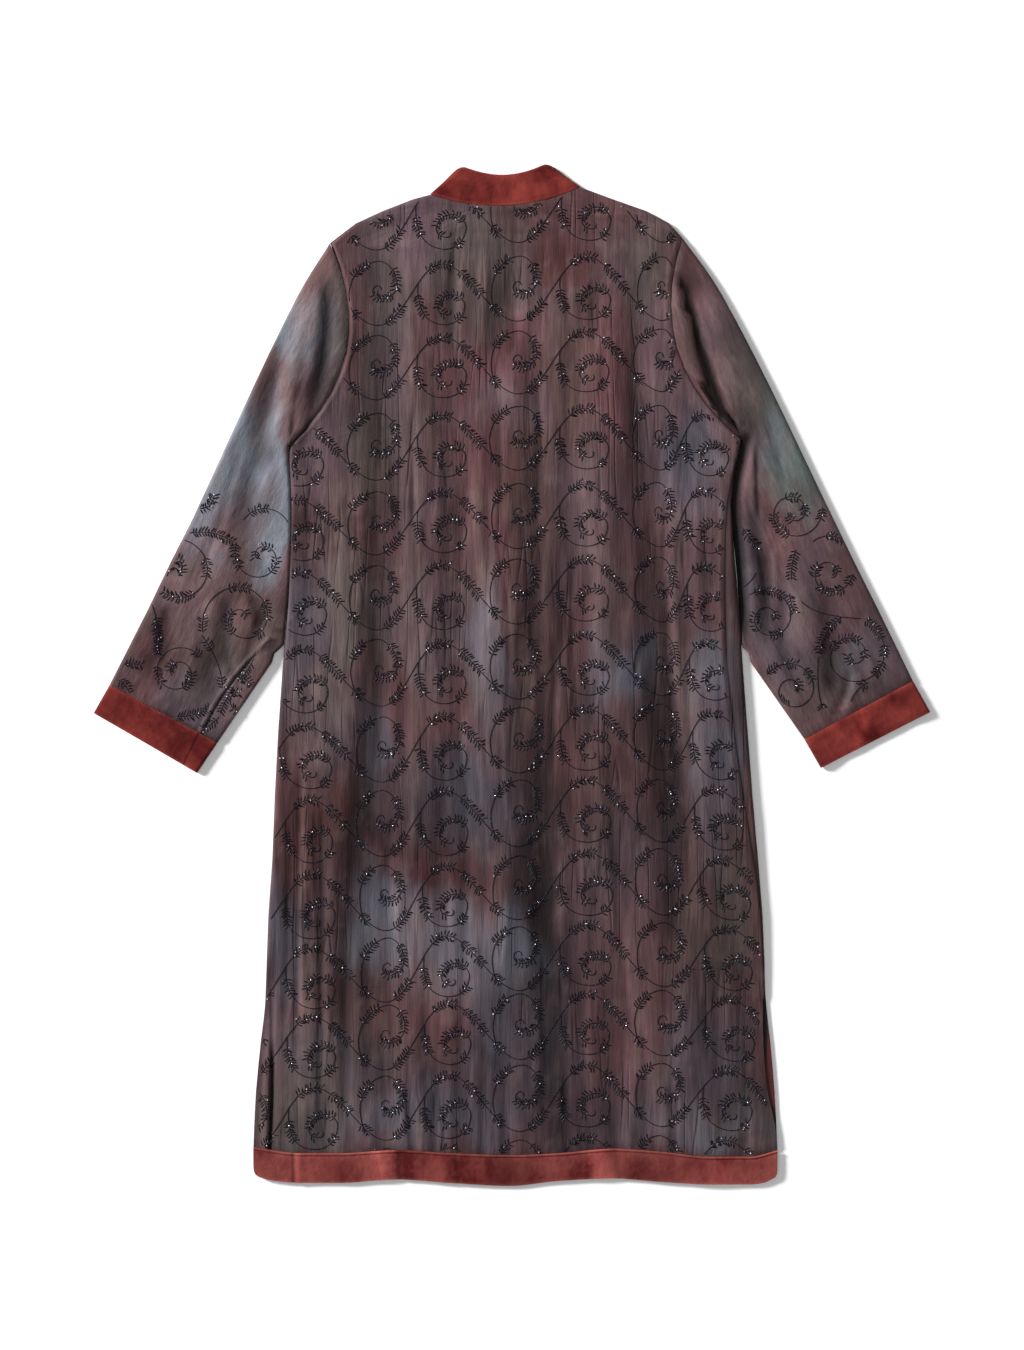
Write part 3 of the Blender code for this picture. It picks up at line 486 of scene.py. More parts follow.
# %% Rows
class Rows:
    """Rows across the coat, each from a left to a right point, bowed along its normal."""

    def __init__(self, left, right, top_bow, floor_bow, bow_shape=parabola):
        count = len(left)
        self.left, self.right = left, right
        self.top_bow = np.broadcast_to(top_bow, count)[:, None]
        self.floor_bow = np.broadcast_to(floor_bow, count)[:, None]
        self.bow_shape = bow_shape
        self.wave, self.open, self.vent = (np.zeros((count, 1)) for _ in range(3))
        self.radius = np.full((count, 1), EDGE_RADIUS)
        self.free_inset = [np.full((count, 1), SEAM / 2)] * 2
        self.seam_reach = [np.zeros((count, 1))] * 2
        self.measure()
        self.slant = [self.edge_slant(left, 1), self.edge_slant(right, -1)]

    def measure(self):
        """Each row's width, its direction and its normal."""
        across = self.right - self.left
        self.width = np.linalg.norm(across, axis=1)[:, None]
        self.along = across / self.width
        self.normal = np.stack([-self.along[:, 1], self.along[:, 0]], axis=1)

    def edge_slant(self, edge, sign):
        """Sine of the angle between each row's end and the outline there."""
        outline = np.gradient(edge, axis=0)
        outline /= np.linalg.norm(outline, axis=1)[:, None]
        end = self.along * self.width + sign * 4 * self.top_bow * self.normal
        end /= np.linalg.norm(end, axis=1)[:, None]
        cross = np.abs(end[:, 0] * outline[:, 1] - end[:, 1] * outline[:, 0])
        return np.maximum(cross, MIN_SLANT)[:, None]

    def finer(self, spacing):
        """The same rows with more put in between them, at most a spacing apart in the middle."""
        middle = (self.left + self.right) / 2
        step = np.linalg.norm(np.diff(middle, axis=0), axis=1)
        counts = np.maximum(np.ceil(step / spacing).astype(int), 1)
        at = np.concatenate([k + np.arange(n) / n for k, n in enumerate(counts)] + [[len(middle) - 1.0]])
        knots = np.arange(len(middle))

        def between(values):
            return np.stack([np.interp(at, knots, v) for v in values.T], axis=1)

        made = Rows.__new__(Rows)
        made.bow_shape = self.bow_shape
        for name in ("left", "right", "top_bow", "floor_bow", "wave", "open", "vent", "radius"):
            setattr(made, name, between(getattr(self, name)))
        for name in ("free_inset", "seam_reach", "slant"):
            setattr(made, name, [between(values) for values in getattr(self, name)])
        made.measure()
        return made

    def quarter(self):
        """Length of cloth round half a fold."""
        return np.pi * self.radius / 2

    def share_at(self, end, reach, bend_radius):
        """Share across each row of what lies a reach round an end's fold, bent to bend_radius."""
        bend = np.clip(reach, -self.quarter(), self.quarter()) / self.radius
        past = np.maximum(np.abs(reach) - self.quarter(), 0.0)
        turned = self.radius - bend_radius * np.cos(bend) + past
        flat = self.free_inset[end] + np.abs(reach - self.seam_reach[end])
        share = (turned + (flat - turned) * self.open) / (self.width * self.slant[end])
        return share if end == 0 else 1 - share

    def place(self, share, under):
        """(x, y) at a share across each row; under is 0 on the top layer and 1 on the floor."""
        folds = [self.radius / self.width / slant for slant in self.slant]
        between = np.clip((share - folds[0]) / (1 - folds[0] - folds[1]), 0.0, 1.0)
        apart = (self.floor_bow - self.top_bow) * parabola(between)
        offset = self.top_bow * self.bow_shape(share) + under * apart
        x = self.left[:, :1] + share * self.width * self.along[:, :1] + offset * self.normal[:, :1]
        y = self.left[:, 1:] + share * self.width * self.along[:, 1:] + offset * self.normal[:, 1:]
        return x, y + self.wave * hem_wave(x)

    def inset(self, share, end):
        """Distance of a share from one end's outline."""
        return (share if end == 0 else 1 - share) * self.width * self.slant[end]

    def top_height(self, share, lowest, relief):
        """Height of the top layer: loft, folds and fine relief, eased to the fold or level at each end."""
        x, y = self.place(share, 0.0)
        fine = relief(x, y)
        height = np.maximum(LOFT + bells(FOLDS, x, y) + fine, lowest)
        for end in (0, 1):
            inset = self.inset(share, end)
            fold = 1 - ease((inset - self.radius) / EDGE_BLEND)
            height = height + (2 * self.radius - height) * fold * (1 - self.open)
            flat = 1 - ease((inset - VENT_LEVEL_WIDTHS[end]) / LEVEL_BLEND)
            height = height + (VENT_LEVELS[end] - height) * flat * self.vent
        return height


# %% [markdown]
# ## Walls of cloth
#
# A piece is gathered column by column, from one of its seams round to the other. Each column gives
# a point on the cloth's outer face and one on its inner face, so that the two grids bound a thin
# closed wall. The visible wall is a little thinner than the solid's, so it stays inside it.

# %% Walls of cloth
THIN_SILK = 1.0
THIN_VELVET = 1.8
LAYER_SPACE = 0.2


class Wall:
    """Collects a piece's columns from one end of its rows to the other, outside and inside."""

    def __init__(self, rows, thickness, relief):
        self.rows = rows
        self.thickness = thickness
        self.lowest = 2 * thickness + LAYER_SPACE
        self.relief = relief
        self.outer, self.inner = [], []

    def add(self, points, share, under, z):
        """Adds columns of points to one face."""
        x, y = self.rows.place(share, under)
        points.append(np.stack(np.broadcast_arrays(x, y, z), axis=-1))

    def floor(self, share):
        """Columns that lie on the floor."""
        self.add(self.outer, share, 1.0, 0.0)
        self.add(self.inner, share, 1.0, self.thickness)

    def top(self, share):
        """Columns of the top layer, with its relief."""
        z = self.rows.top_height(share, self.lowest, self.relief)
        self.add(self.outer, share, 0.0, z)
        self.add(self.inner, share, 0.0, z - self.thickness)

    def turn(self, end, reach, on_floor=False):
        """Columns beside an end, by how far they lie round the fold from its middle, + on top.

        A point on the fold is at radius * (1 - cos, 1 + sin) of its bend. Where the end is open the
        columns lie flat instead, on top or on the floor.
        """
        rows, wall = self.rows, self.thickness
        bend = np.clip(reach, -rows.quarter(), rows.quarter()) / rows.radius
        level_part = np.abs(reach) > rows.quarter()
        faces = ((self.outer, rows.radius, 0.0), (self.inner, rows.radius - wall, wall))
        for points, bend_radius, lift in faces:
            share = rows.share_at(end, reach, bend_radius)
            top = rows.top_height(rows.share_at(end, reach, rows.radius), self.lowest, self.relief) - lift
            bent = rows.radius + bend_radius * np.sin(bend)
            folded = np.where(level_part, np.where(reach > 0, top, lift), bent)
            layer = np.where(reach < 0, 1.0, 0.0)
            free = lift if on_floor else top
            z = folded + (free - folded) * rows.open
            under = layer + (on_floor - layer) * rows.open
            self.add(points, share, under, z)

    def hem_row(self):
        """(x, y) of the first row's points."""
        return np.concatenate(self.outer, axis=1)[0, :, :2]

    def grids(self):
        """The outer and the inner face as (rows, columns, 3) arrays."""
        return [np.concatenate(columns, axis=1) for columns in (self.outer, self.inner)]


def spread(first, last, count):
    """Evenly spaced values from first to last in each row."""
    return first + (last - first) * np.linspace(0.0, 1.0, count + 1)


def grid_faces(rows, columns, ring):
    """Quads of a closed wall of two grids: outer faces, inner faces turned round, and rims."""
    index = np.arange(2 * rows * columns).reshape(2, rows, columns)
    if ring:
        index = np.concatenate([index, index[:, :, :1]], axis=2)

    def quads(a):
        return np.stack([a[:-1, :-1], a[:-1, 1:], a[1:, 1:], a[1:, :-1]], axis=-1).reshape(-1, 4)

    def rim(outer, inner):
        return np.stack([outer[1:], outer[:-1], inner[:-1], inner[1:]], axis=-1)

    parts = [quads(index[0]), quads(index[1])[:, ::-1]]
    parts.append(rim(index[0, 0], index[1, 0]))
    parts.append(rim(index[0, -1, ::-1], index[1, -1, ::-1]))
    if not ring:
        parts.append(rim(index[0, :, -1], index[1, :, -1]))
        parts.append(rim(index[0, ::-1, 0], index[1, ::-1, 0]))
    return np.concatenate(parts)


def new_mesh(name, points, faces, material, smooth=True):
    """A mesh object from arrays of points (in mm) and faces, which all have the same corner count."""
    mesh = bpy.data.meshes.new(name)
    corners = faces.shape[1]
    mesh.vertices.add(len(points))
    mesh.vertices.foreach_set("co", (points * MM).astype(np.float32).ravel())
    mesh.loops.add(faces.size)
    mesh.loops.foreach_set("vertex_index", faces.astype(np.int32).ravel())
    mesh.polygons.add(len(faces))
    mesh.polygons.foreach_set("loop_start", np.arange(0, faces.size, corners, dtype=np.int32))
    mesh.polygons.foreach_set("use_smooth", np.full(len(faces), smooth))
    mesh.update(calc_edges=True)
    mesh.validate()
    mesh.materials.append(material)
    obj = bpy.data.objects.new(name, mesh)
    bpy.context.scene.collection.objects.link(obj)
    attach(obj, "root")
    return obj


def outward(points, faces):
    """The faces, turned round if they bound a negative volume."""
    a, b, c = (points[faces[:, k]] for k in (0, 1, 2))
    volume = np.einsum("ij,ij->i", a, np.cross(b, c)).sum()
    if faces.shape[1] == 4:
        d = points[faces[:, 3]]
        volume += np.einsum("ij,ij->i", a, np.cross(c, d)).sum()
    return faces if volume > 0 else faces[:, ::-1]


SHARP_ANGLE = 60.0


def cloth_piece(name, outer, inner, material, node, ring=False):
    """A closed wall as a mesh that stands in for a node, with sharp rims."""
    rows, columns = outer.shape[:2]
    points = np.concatenate([outer.reshape(-1, 3), inner.reshape(-1, 3)])
    faces = outward(points, grid_faces(rows, columns, ring))
    obj = new_mesh(name, points, faces, material)
    obj.data.set_sharp_from_angle(angle=np.radians(SHARP_ANGLE))
    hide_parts(node)
    print(name, len(obj.data.vertices), "points")
    return obj

# %% [markdown]
# ## Tie-dye
#
# Tie-dyed silk is bound and dipped more than once, so cloudy patches of ice blue, slate and grey
# green run into a rose-brown ground. Shade is painted into the colour: darker in the creases, folds
# and seam grooves, and paler on the ridges as painted highlight. A table of soft patches gives the
# colours and an even noise bends their edges. The colour, painted shade and all, is worked out for
# each point of the cloth and kept as an attribute of the mesh.

# %% Dye
def linear(red, green, blue):
    """Linear colour from display values of 0 to 255."""
    value = np.array([red, green, blue]) / 255.0
    return np.where(value <= 0.04045, value / 12.92, ((value + 0.055) / 1.055) ** 2.4)


DYE_DEPTH = {"back": np.array([0.59, 0.51, 0.53]), "sleeve": np.array([0.67, 0.60, 0.62])}
DYES = {
    "ground": linear(90, 68, 70),
    "rose": linear(101, 69, 71),
    "red brown": linear(86, 56, 54),
    "khaki": linear(104, 92, 80),
    "worn": linear(122, 110, 104),
    "bright ice": linear(156, 180, 187),
    "sage": linear(106, 107, 99),
    "dark": linear(58, 43, 46),
    "grey lilac": linear(100, 86, 93),
    "light": linear(112, 104, 110),
    "slate": linear(78, 80, 88),
    "ice": linear(118, 128, 138),
    "blue grey": linear(94, 98, 108),
    "grey green": linear(82, 80, 76),
    "teal": linear(99, 114, 109),
    "wine": linear(85, 53, 61),
    "tan pink": linear(132, 102, 98),
}
SLEEVE_LEAN = 22.0


def along_sleeve(x, y):
    """The same places, turned so that y runs along the sleeve on that side."""
    lean = np.radians(SLEEVE_LEAN) * np.sign(x)
    return x * np.cos(lean) + y * np.sin(lean), y * np.cos(lean) - x * np.sin(lean)


Patch = namedtuple("Patch", "x y half_x half_y dye strength")
# The narrow, long patches of dark dye along the folds are painted shade, and the narrow pale ones on
# ridges painted highlight.
BACK_PATCHES = (
    Patch(-190, 60, 13, 95, "sage", 0.6),
    Patch(-152, -105, 10, 50, "ice", 0.5),
    Patch(-202, 3, 9, 22, "worn", 0.5),
    Patch(-103, 5, 18, 20, "light", 0.5),
    Patch(-95, 36, 30, 9, "red brown", 0.55),
    Patch(127, -3, 17, 28, "ice", 0.75),
    Patch(30, 0, 11, 95, "dark", 0.6),
    Patch(214, -76, 18, 24, "ice", 0.45),
    Patch(10, 235, 30, 60, "khaki", 0.6),
    Patch(-160, 240, 28, 45, "khaki", 0.6),
    Patch(-108, 285, 25, 60, "khaki", 0.5),
    Patch(-50, 476, 42, 22, "light", 0.45),
    Patch(60, 330, 26, 60, "khaki", 0.4),
    Patch(-150, -400, 24, 50, "khaki", 0.6),
    Patch(-225, -505, 40, 22, "ice", 0.4),
    Patch(-140, -505, 30, 22, "ice", 0.4),
    Patch(215, 245, 40, 14, "ice", 0.5),
    Patch(232, 180, 24, 14, "light", 0.4),
    Patch(-140, 380, 22, 190, "grey green", 0.5),
    Patch(-125, 300, 20, 60, "grey lilac", 0.6),
    Patch(-110, 500, 60, 40, "grey lilac", 0.6),
    Patch(-40, 440, 50, 60, "grey green", 0.7),
    Patch(-20, 350, 45, 45, "rose", 0.8),
    Patch(50, 455, 30, 30, "red brown", 0.9),
    Patch(-35, 245, 60, 45, "rose", 0.6),
    Patch(-10, 300, 40, 30, "grey lilac", 0.7),
    Patch(105, 330, 40, 60, "rose", 0.6),
    Patch(150, 440, 22, 60, "grey green", 0.7),
    Patch(170, 340, 30, 60, "grey lilac", 0.5),
    Patch(190, 220, 40, 50, "blue grey", 0.8),
    Patch(185, 290, 45, 35, "grey lilac", 0.6),
    Patch(-165, 255, 30, 45, "grey green", 0.7),
    Patch(-200, 160, 45, 35, "dark", 0.7),
    Patch(-215, 235, 30, 35, "grey lilac", 0.5),
    Patch(-230, 60, 26, 55, "blue grey", 0.7),
    Patch(-180, 60, 35, 50, "grey green", 0.6),
    Patch(-105, 200, 30, 60, "grey lilac", 0.6),
    Patch(-15, 150, 30, 45, "rose", 0.7),
    Patch(-32, 20, 20, 60, "ice", 0.75),
    Patch(-22, -10, 20, 40, "light", 0.5),
    Patch(-95, 40, 40, 60, "grey lilac", 0.6),
    Patch(60, 60, 50, 90, "rose", 0.35),
    Patch(95, 160, 30, 70, "grey lilac", 0.6),
    Patch(118, 0, 24, 45, "blue grey", 0.7),
    Patch(212, 5, 24, 36, "ice", 0.75),
    Patch(200, 130, 30, 50, "grey lilac", 0.5),
    Patch(-100, -60, 45, 45, "rose", 0.7),
    Patch(-50, -130, 50, 45, "blue grey", 0.8),
    Patch(-20, -60, 24, 60, "grey lilac", 0.6),
    Patch(-200, -60, 45, 60, "slate", 0.5),
    Patch(-215, -165, 45, 40, "red brown", 0.9),
    Patch(-145, -210, 55, 30, "dark", 0.95),
    Patch(-60, -215, 60, 28, "red brown", 0.6),
    Patch(-50, -300, 70, 48, "ice", 0.6),
    Patch(-95, -265, 40, 30, "light", 0.45),
    Patch(-200, -310, 55, 60, "dark", 0.8),
    Patch(-255, -290, 22, 60, "blue grey", 0.8),
    Patch(-268, -380, 16, 60, "grey lilac", 0.7),
    Patch(-110, -380, 60, 50, "rose", 0.5),
    Patch(-20, -380, 28, 60, "blue grey", 0.7),
    Patch(-200, -440, 55, 50, "slate", 0.7),
    Patch(-240, -490, 60, 35, "grey green", 0.7),
    Patch(-60, -490, 70, 35, "blue grey", 0.7),
    Patch(40, -290, 26, 60, "dark", 0.95),
    Patch(54, -360, 16, 150, "dark", 0.7),
    Patch(196, -320, 11, 90, "worn", 0.45),
    Patch(92, -170, 10, 120, "worn", 0.35),
    Patch(-96, -440, 14, 60, "dark", 0.6),
    Patch(-170, -380, 12, 90, "dark", 0.6),
    Patch(-205, -450, 10, 60, "worn", 0.4),
    Patch(-66, 120, 8, 90, "dark", 0.5),
    Patch(8, 40, 8, 90, "worn", 0.4),
    Patch(45, -420, 40, 90, "slate", 0.6),
    Patch(36, -110, 17, 115, "dark", 0.85),
    Patch(36, 130, 20, 150, "dark", 0.5),
    Patch(60, -490, 50, 40, "dark", 0.6),
    Patch(110, -250, 55, 90, "grey lilac", 0.4),
    Patch(140, -330, 50, 60, "rose", 0.5),
    Patch(178, -110, 16, 100, "dark", 0.8),
    Patch(225, -110, 26, 90, "blue grey", 0.6),
    Patch(170, -400, 50, 50, "rose", 0.4),
    Patch(215, -430, 40, 60, "slate", 0.7),
    Patch(245, -260, 28, 80, "grey green", 0.7),
    Patch(-145, -276, 32, 42, "ice", 0.7),
    Patch(6, -300, 19, 50, "ice", 0.75),
    Patch(-166, -165, 13, 60, "dark", 0.7),
    Patch(-88, -212, 86, 15, "wine", 0.75),
    Patch(235, -500, 60, 35, "grey green", 0.6),
    Patch(205, -506, 60, 24, "ice", 0.5),
    Patch(150, -480, 50, 40, "grey lilac", 0.5),
)
SLEEVE_PATCHES = (
    Patch(-298, 35, 38, 55, "sage", 0.4),
    Patch(335, 40, 60, 60, "light", 0.22),
    Patch(400, 20, 40, 40, "light", 0.22),
    Patch(-238, 372, 15, 30, "bright ice", 0.75),
    Patch(-256, 262, 7, 50, "bright ice", 0.85),
    Patch(-260, 158, 12, 38, "bright ice", 0.8),
    Patch(-328, 208, 14, 36, "bright ice", 0.5),
    Patch(-302, 268, 13, 36, "bright ice", 0.5),
    Patch(-278, 118, 10, 24, "bright ice", 0.35),
    Patch(312, 232, 16, 20, "bright ice", 0.25),
    Patch(215, 400, 10, 18, "light", 0.4),
    Patch(-225, 420, 24, 50, "tan pink", 0.6),
    Patch(-195, 400, 16, 80, "grey green", 0.7),
    Patch(-232, 380, 26, 46, "ice", 0.85),
    Patch(-268, 330, 18, 34, "red brown", 0.6),
    Patch(-252, 300, 20, 50, "tan pink", 0.4),
    Patch(-270, 255, 26, 60, "ice", 0.75),
    Patch(-305, 245, 26, 60, "ice", 0.7),
    Patch(-262, 160, 22, 52, "ice", 0.95),
    Patch(-345, 165, 30, 45, "ice", 0.7),
    Patch(-300, 180, 20, 30, "red brown", 0.4),
    Patch(-325, 95, 40, 40, "tan pink", 0.3),
    Patch(-400, 70, 40, 30, "grey lilac", 0.6),
    Patch(-390, 20, 45, 45, "red brown", 0.4),
    Patch(-300, 60, 30, 40, "rose", 0.5),
    Patch(-320, 0, 35, 35, "grey green", 0.5),
    Patch(-345, -40, 50, 30, "slate", 0.5),
    Patch(210, 440, 40, 45, "rose", 0.5),
    Patch(235, 380, 30, 50, "grey lilac", 0.5),
    Patch(262, 330, 24, 50, "grey green", 0.7),
    Patch(300, 290, 28, 60, "teal", 0.8),
    Patch(315, 225, 34, 42, "teal", 0.95),
    Patch(290, 250, 20, 40, "ice", 0.35),
    Patch(262, 230, 16, 70, "grey lilac", 0.4),
    Patch(285, 160, 40, 30, "rose", 0.7),
    Patch(350, 150, 35, 30, "grey lilac", 0.5),
    Patch(265, 120, 16, 60, "slate", 0.6),
    Patch(320, 85, 30, 40, "grey lilac", 0.7),
    Patch(370, 60, 35, 40, "rose", 0.4),
    Patch(360, 0, 40, 35, "grey green", 0.7),
    Patch(375, 10, 22, 22, "blue grey", 0.5),
    Patch(410, 10, 30, 30, "grey lilac", 0.5),
    Patch(300, 30, 30, 40, "slate", 0.5),
)


# Share of each wide cloud of the ground
GROUND_CLOUDS = {"rose": 0.6, "slate": -0.4}
# Width, length and seed's step of each noise
DYE_NOISE = {
    "broad drift": (42, 60, 0),
    "middle drift": (14, 32, 1),
    "fine drift": (5, 16, 8),
    "broad drop": (36, 80, 2),
    "middle drop": (11, 36, 3),
    "fine drop": (4, 18, 9),
    "wide": (50, 80, 4),
    "streak": (5, 70, 5),
    "long streak": (11, 120, 6),
    "cloud": (20, 38, 7),
    "small cloud": (9, 13, 10),
    "mottle": (13, 17, 11),
    "fine mottle": (5, 7, 12),
}
PATCH_SOFTNESS = 0.7
PATCH_STEEPNESS = 1.7
WORN_SHARE = 0.22
DEEPEST_SHADE = -2.6
PALEST_HIGHLIGHT = 0.19
PALER_COLLAR = 0.30
PALER_HEM = 0.05


def dye_and_shade_colour(x, y, patches, relief, seed):
    """The ground, with each patch mixed in by strength * bell(distance), then streaked down the cloth.

    The distance is measured from a place that a soft noise has shifted, so patches look cloudy.
    Shade is painted in: the colour deepens with the depth of the relief, and ridges are painted
    paler as highlight.
    """

    def noise(name, x, y):
        width, length, step = DYE_NOISE[name]
        return cloudy(x, y, width, length, seed + step)

    u, v = along_sleeve(x, y) if patches is SLEEVE_PATCHES else (x, y)
    shift_x = 15 * noise("broad drift", x, y) + 7 * noise("middle drift", u, v)
    shift_x = shift_x + 3 * noise("fine drift", u, v)
    shift_y = 24 * noise("broad drop", x, y) + 12 * noise("middle drop", u, v)
    shift_y = shift_y + 7 * noise("fine drop", u, v)
    wide = noise("wide", x + shift_x, y + shift_y)
    colour = DYES["ground"] + np.zeros(x.shape + (3,))
    for dye, part in GROUND_CLOUDS.items():
        share = abs(part) * np.clip(np.sign(part) * wide, 0, 1)
        colour = colour + share[..., None] * (DYES[dye] - colour)
    for patch in patches:
        across = (x + shift_x - patch.x) / patch.half_x
        down = (y + shift_y - patch.y) / patch.half_y
        share = patch.strength * np.exp(-PATCH_SOFTNESS * (across**2 + down**2) ** PATCH_STEEPNESS)
        colour = colour + share[..., None] * (DYES[patch.dye] - colour)
    streak = 0.7 * noise("streak", u + shift_x / 3, v) + 0.6 * noise("long streak", u, v)
    cloud = 0.8 * noise("cloud", u, v)
    small_cloud = 0.8 * noise("small cloud", u, v)
    mottle = noise("mottle", u + shift_x / 2, v) + 0.6 * noise("fine mottle", u, v)
    # A random mottle of paler worn dye, plus painted highlight on ridges where the relief is high.
    worn = WORN_SHARE * ease(1.6 * mottle - 0.3) + np.clip(0.16 * relief, 0.0, 0.3)
    colour = colour + worn[..., None] * (DYES["worn"] - colour)
    # Painted shade and highlight: the colour darkens with the depth of the relief and pales on its ridges.
    relief_shading = np.clip(0.38 * relief, DEEPEST_SHADE, PALEST_HIGHLIGHT)
    if patches is SLEEVE_PATCHES:
        streak, cloud = 0.4 * streak, 1.3 * cloud
        depth, paler = DYE_DEPTH["sleeve"], 0.0
    else:
        depth = DYE_DEPTH["back"]
        paler = PALER_COLLAR * ease(y / 400) + PALER_HEM * ease((-150 - y) / 150) - 0.09
        streak = streak * (1 - 0.5 * ease((y - SMOOTH_ABOVE) / 70))
    tone = 0.22 * streak + 0.20 * cloud + 0.09 * small_cloud + relief_shading + paler - 0.06
    return depth * colour * np.exp(tone)[..., None]


def paint(obj, colour):
    """Keeps a colour for each point of a piece; the inner face has the outer face's colours."""
    flat = np.concatenate([colour.reshape(-1, 3)] * 2)
    values = np.concatenate([flat, np.ones((len(flat), 1))], axis=1).astype(np.float32)
    # Kept under the name dye, though the colour also holds painted shade and highlight.
    layer = obj.data.attributes.new("dye", "FLOAT_COLOR", "POINT")
    layer.data.foreach_set("color", values.ravel())


print(len(BACK_PATCHES) + len(SLEEVE_PATCHES), "patches of", len(DYES), "dyes")

# %% [markdown]
# ## Shader maths
#
# Materials are small sums of values over a surface. A class wraps a node's socket, so that a sum
# is written as one, and each operator adds the node that works it out.

# %% Shader maths
class Value:
    """A socket that carries a number over the surface."""

    def __init__(self, shade, socket):
        self.shade = shade
        self.socket = socket

    def math(self, operation, *others):
        """This value and others through one operation."""
        return self.shade.node("ShaderNodeMath", {"operation": operation}, [self, *others])

    def __add__(self, other):
        return self.math("ADD", other)

    def __sub__(self, other):
        return self.math("SUBTRACT", other)

    def __rsub__(self, other):
        return self.shade.node("ShaderNodeMath", {"operation": "SUBTRACT"}, [other, self])

    def __mul__(self, other):
        return self.math("MULTIPLY", other)

    __radd__ = __add__
    __rmul__ = __mul__


class Shade:
    """A material's nodes."""

    def __init__(self, name, degrees=0.0):
        self.angle = float(np.radians(degrees))
        self.material = bpy.data.materials.new(name)
        self.material.use_nodes = True
        self.tree = self.material.node_tree
        self.surface = self.tree.nodes["Principled BSDF"]

    def node(self, kind, settings, values, output=0):
        """Adds a node with its settings and its sockets' values or links; returns one output."""
        made = self.tree.nodes.new(kind)
        for name, setting in settings.items():
            setattr(made, name, setting)
        pairs = values.items() if isinstance(values, dict) else enumerate(values)
        for socket, value in pairs:
            if isinstance(value, Value):
                self.tree.links.new(value.socket, made.inputs[socket])
            else:
                made.inputs[socket].default_value = value
        return Value(self, made.outputs[output])

    def place(self, scale):
        """Object coordinates, turned by the shade's own angle, times a scale for each axis."""
        where = self.node("ShaderNodeTexCoord", {}, {}, "Object")
        turned = {"Vector": where, "Rotation": (0.0, 0.0, self.angle)}
        turned = self.node("ShaderNodeMapping", {"vector_type": "POINT"}, turned)
        return self.node("ShaderNodeMapping", {"vector_type": "POINT"}, {"Vector": turned, "Scale": scale})

    def attribute(self, name, output):
        """What the mesh keeps for each point under a name."""
        return self.node("ShaderNodeAttribute", {"attribute_name": name}, {}, output)

    def noise(self, scale, detail=2.0, stretch=(1.0, 1.0, 1.0)):
        """Noise of 0 to 1 with so many cells to the metre."""
        values = {"Vector": self.place(stretch), "Scale": scale, "Detail": detail}
        return self.node("ShaderNodeTexNoise", {"noise_dimensions": "3D"}, values, 0)

    def away(self, value, middle):
        """How far a value is from the middle."""
        return (value - middle).math("ABSOLUTE")

    def clamped(self, value):
        """The value, kept between 0 and 1."""
        return self.node("ShaderNodeClamp", {}, [value, 0.0, 1.0])

    def mix(self, share, one, other, blend="MIX"):
        """A colour of two colours. In a colour's Mix node these are sockets 0, 6 and 7, and output 2."""
        settings = {"data_type": "RGBA", "blend_type": blend}
        return self.node("ShaderNodeMix", settings, {0: share, 6: one, 7: other}, 2)

    def dark(self, colour, share):
        """A colour, darkened towards black where the share is low."""
        grey = self.node("ShaderNodeCombineColor", {}, [share, share, share])
        return self.mix(1.0, colour, grey, "MULTIPLY")

    def bump(self, height, distance):
        """A normal from a height of 0 to 1, which stands for a distance in metres."""
        values = {"Height": height, "Distance": distance, "Strength": 1.0}
        return self.node("ShaderNodeBump", {}, values, 0)

    def finish(self, varying, constant):
        """Links what varies over the surface and sets what doesn't on the shader's own sockets."""
        for name, value in varying.items():
            self.tree.links.new(value.socket, self.surface.inputs[name])
        for name, value in constant.items():
            self.surface.inputs[name].default_value = value
        return self.material


# %% [markdown]
# ## Silk
#
# Silk crepe is dull from far off, with a soft sheen where it curves away. Its fine crinkles run down
# the cloth, closer than the mesh can hold, so they are in the bump, over a weave of about three
# threads to the millimetre. The colour comes from the attribute, with its painted shade, and is
# darkened where the bump is low as painted shade in the crinkles' hollows and sharp creases.

# %% Silk
# Cells to the metre
CRINKLE_CELLS = 190.0
SLUB_CELLS = 700.0
GRAIN_CELLS = 2600.0
CREASE_CELLS = 60.0
CREASED_PLACES = 11.0
CREASE_SHARPNESS = 26.0


def silk(name, stretch, creasing, degrees=0.0):
    """Crepe with crinkles drawn out along the cloth, and with sharp creases in some places.

    A sharp crease lies where a slow noise passes through its middle value. The colour is darkened
    where the bump is low, as painted shade in the crinkles' hollows and the sharp creases.
    """
    shade = Shade(name, degrees)
    dye = shade.attribute("dye", "Color")
    crinkles = shade.noise(CRINKLE_CELLS, 3.0, (1.0, stretch, 1.0))
    slubs = shade.noise(SLUB_CELLS, 2.0, (1.0, stretch, 1.0))
    grain = shade.noise(GRAIN_CELLS, 1.0)
    slow = shade.noise(CREASE_CELLS, 1.0, (1.0, stretch * 0.6, 1.0))
    creased = shade.clamped(1.0 - shade.away(slow, 0.5) * CREASE_SHARPNESS)
    where = shade.clamped(shade.noise(CREASED_PLACES, 1.0) * 5.0 - 2.2)
    sharp = creased * where * creasing
    # Painted shade: the tone falls with the bump's height, darkest in the sharp creases.
    tone = 0.50 + crinkles * 0.72 + slubs * 0.22 + grain * 0.10 - sharp * 0.22
    height = crinkles * 0.70 + slubs * 0.16 + grain * 0.14 - sharp * 0.5
    varying = {
        "Base Color": shade.dark(dye, tone),
        "Roughness": 0.44 + crinkles * 0.18,
        "Normal": shade.bump(height, 0.0016),
    }
    constant = {
        "Specular IOR Level": 0.09,
        "Sheen Weight": 0.015,
        "Sheen Roughness": 0.4,
        "Sheen Tint": (0.75, 0.72, 0.78, 1.0),
    }
    return shade.finish(varying, constant)


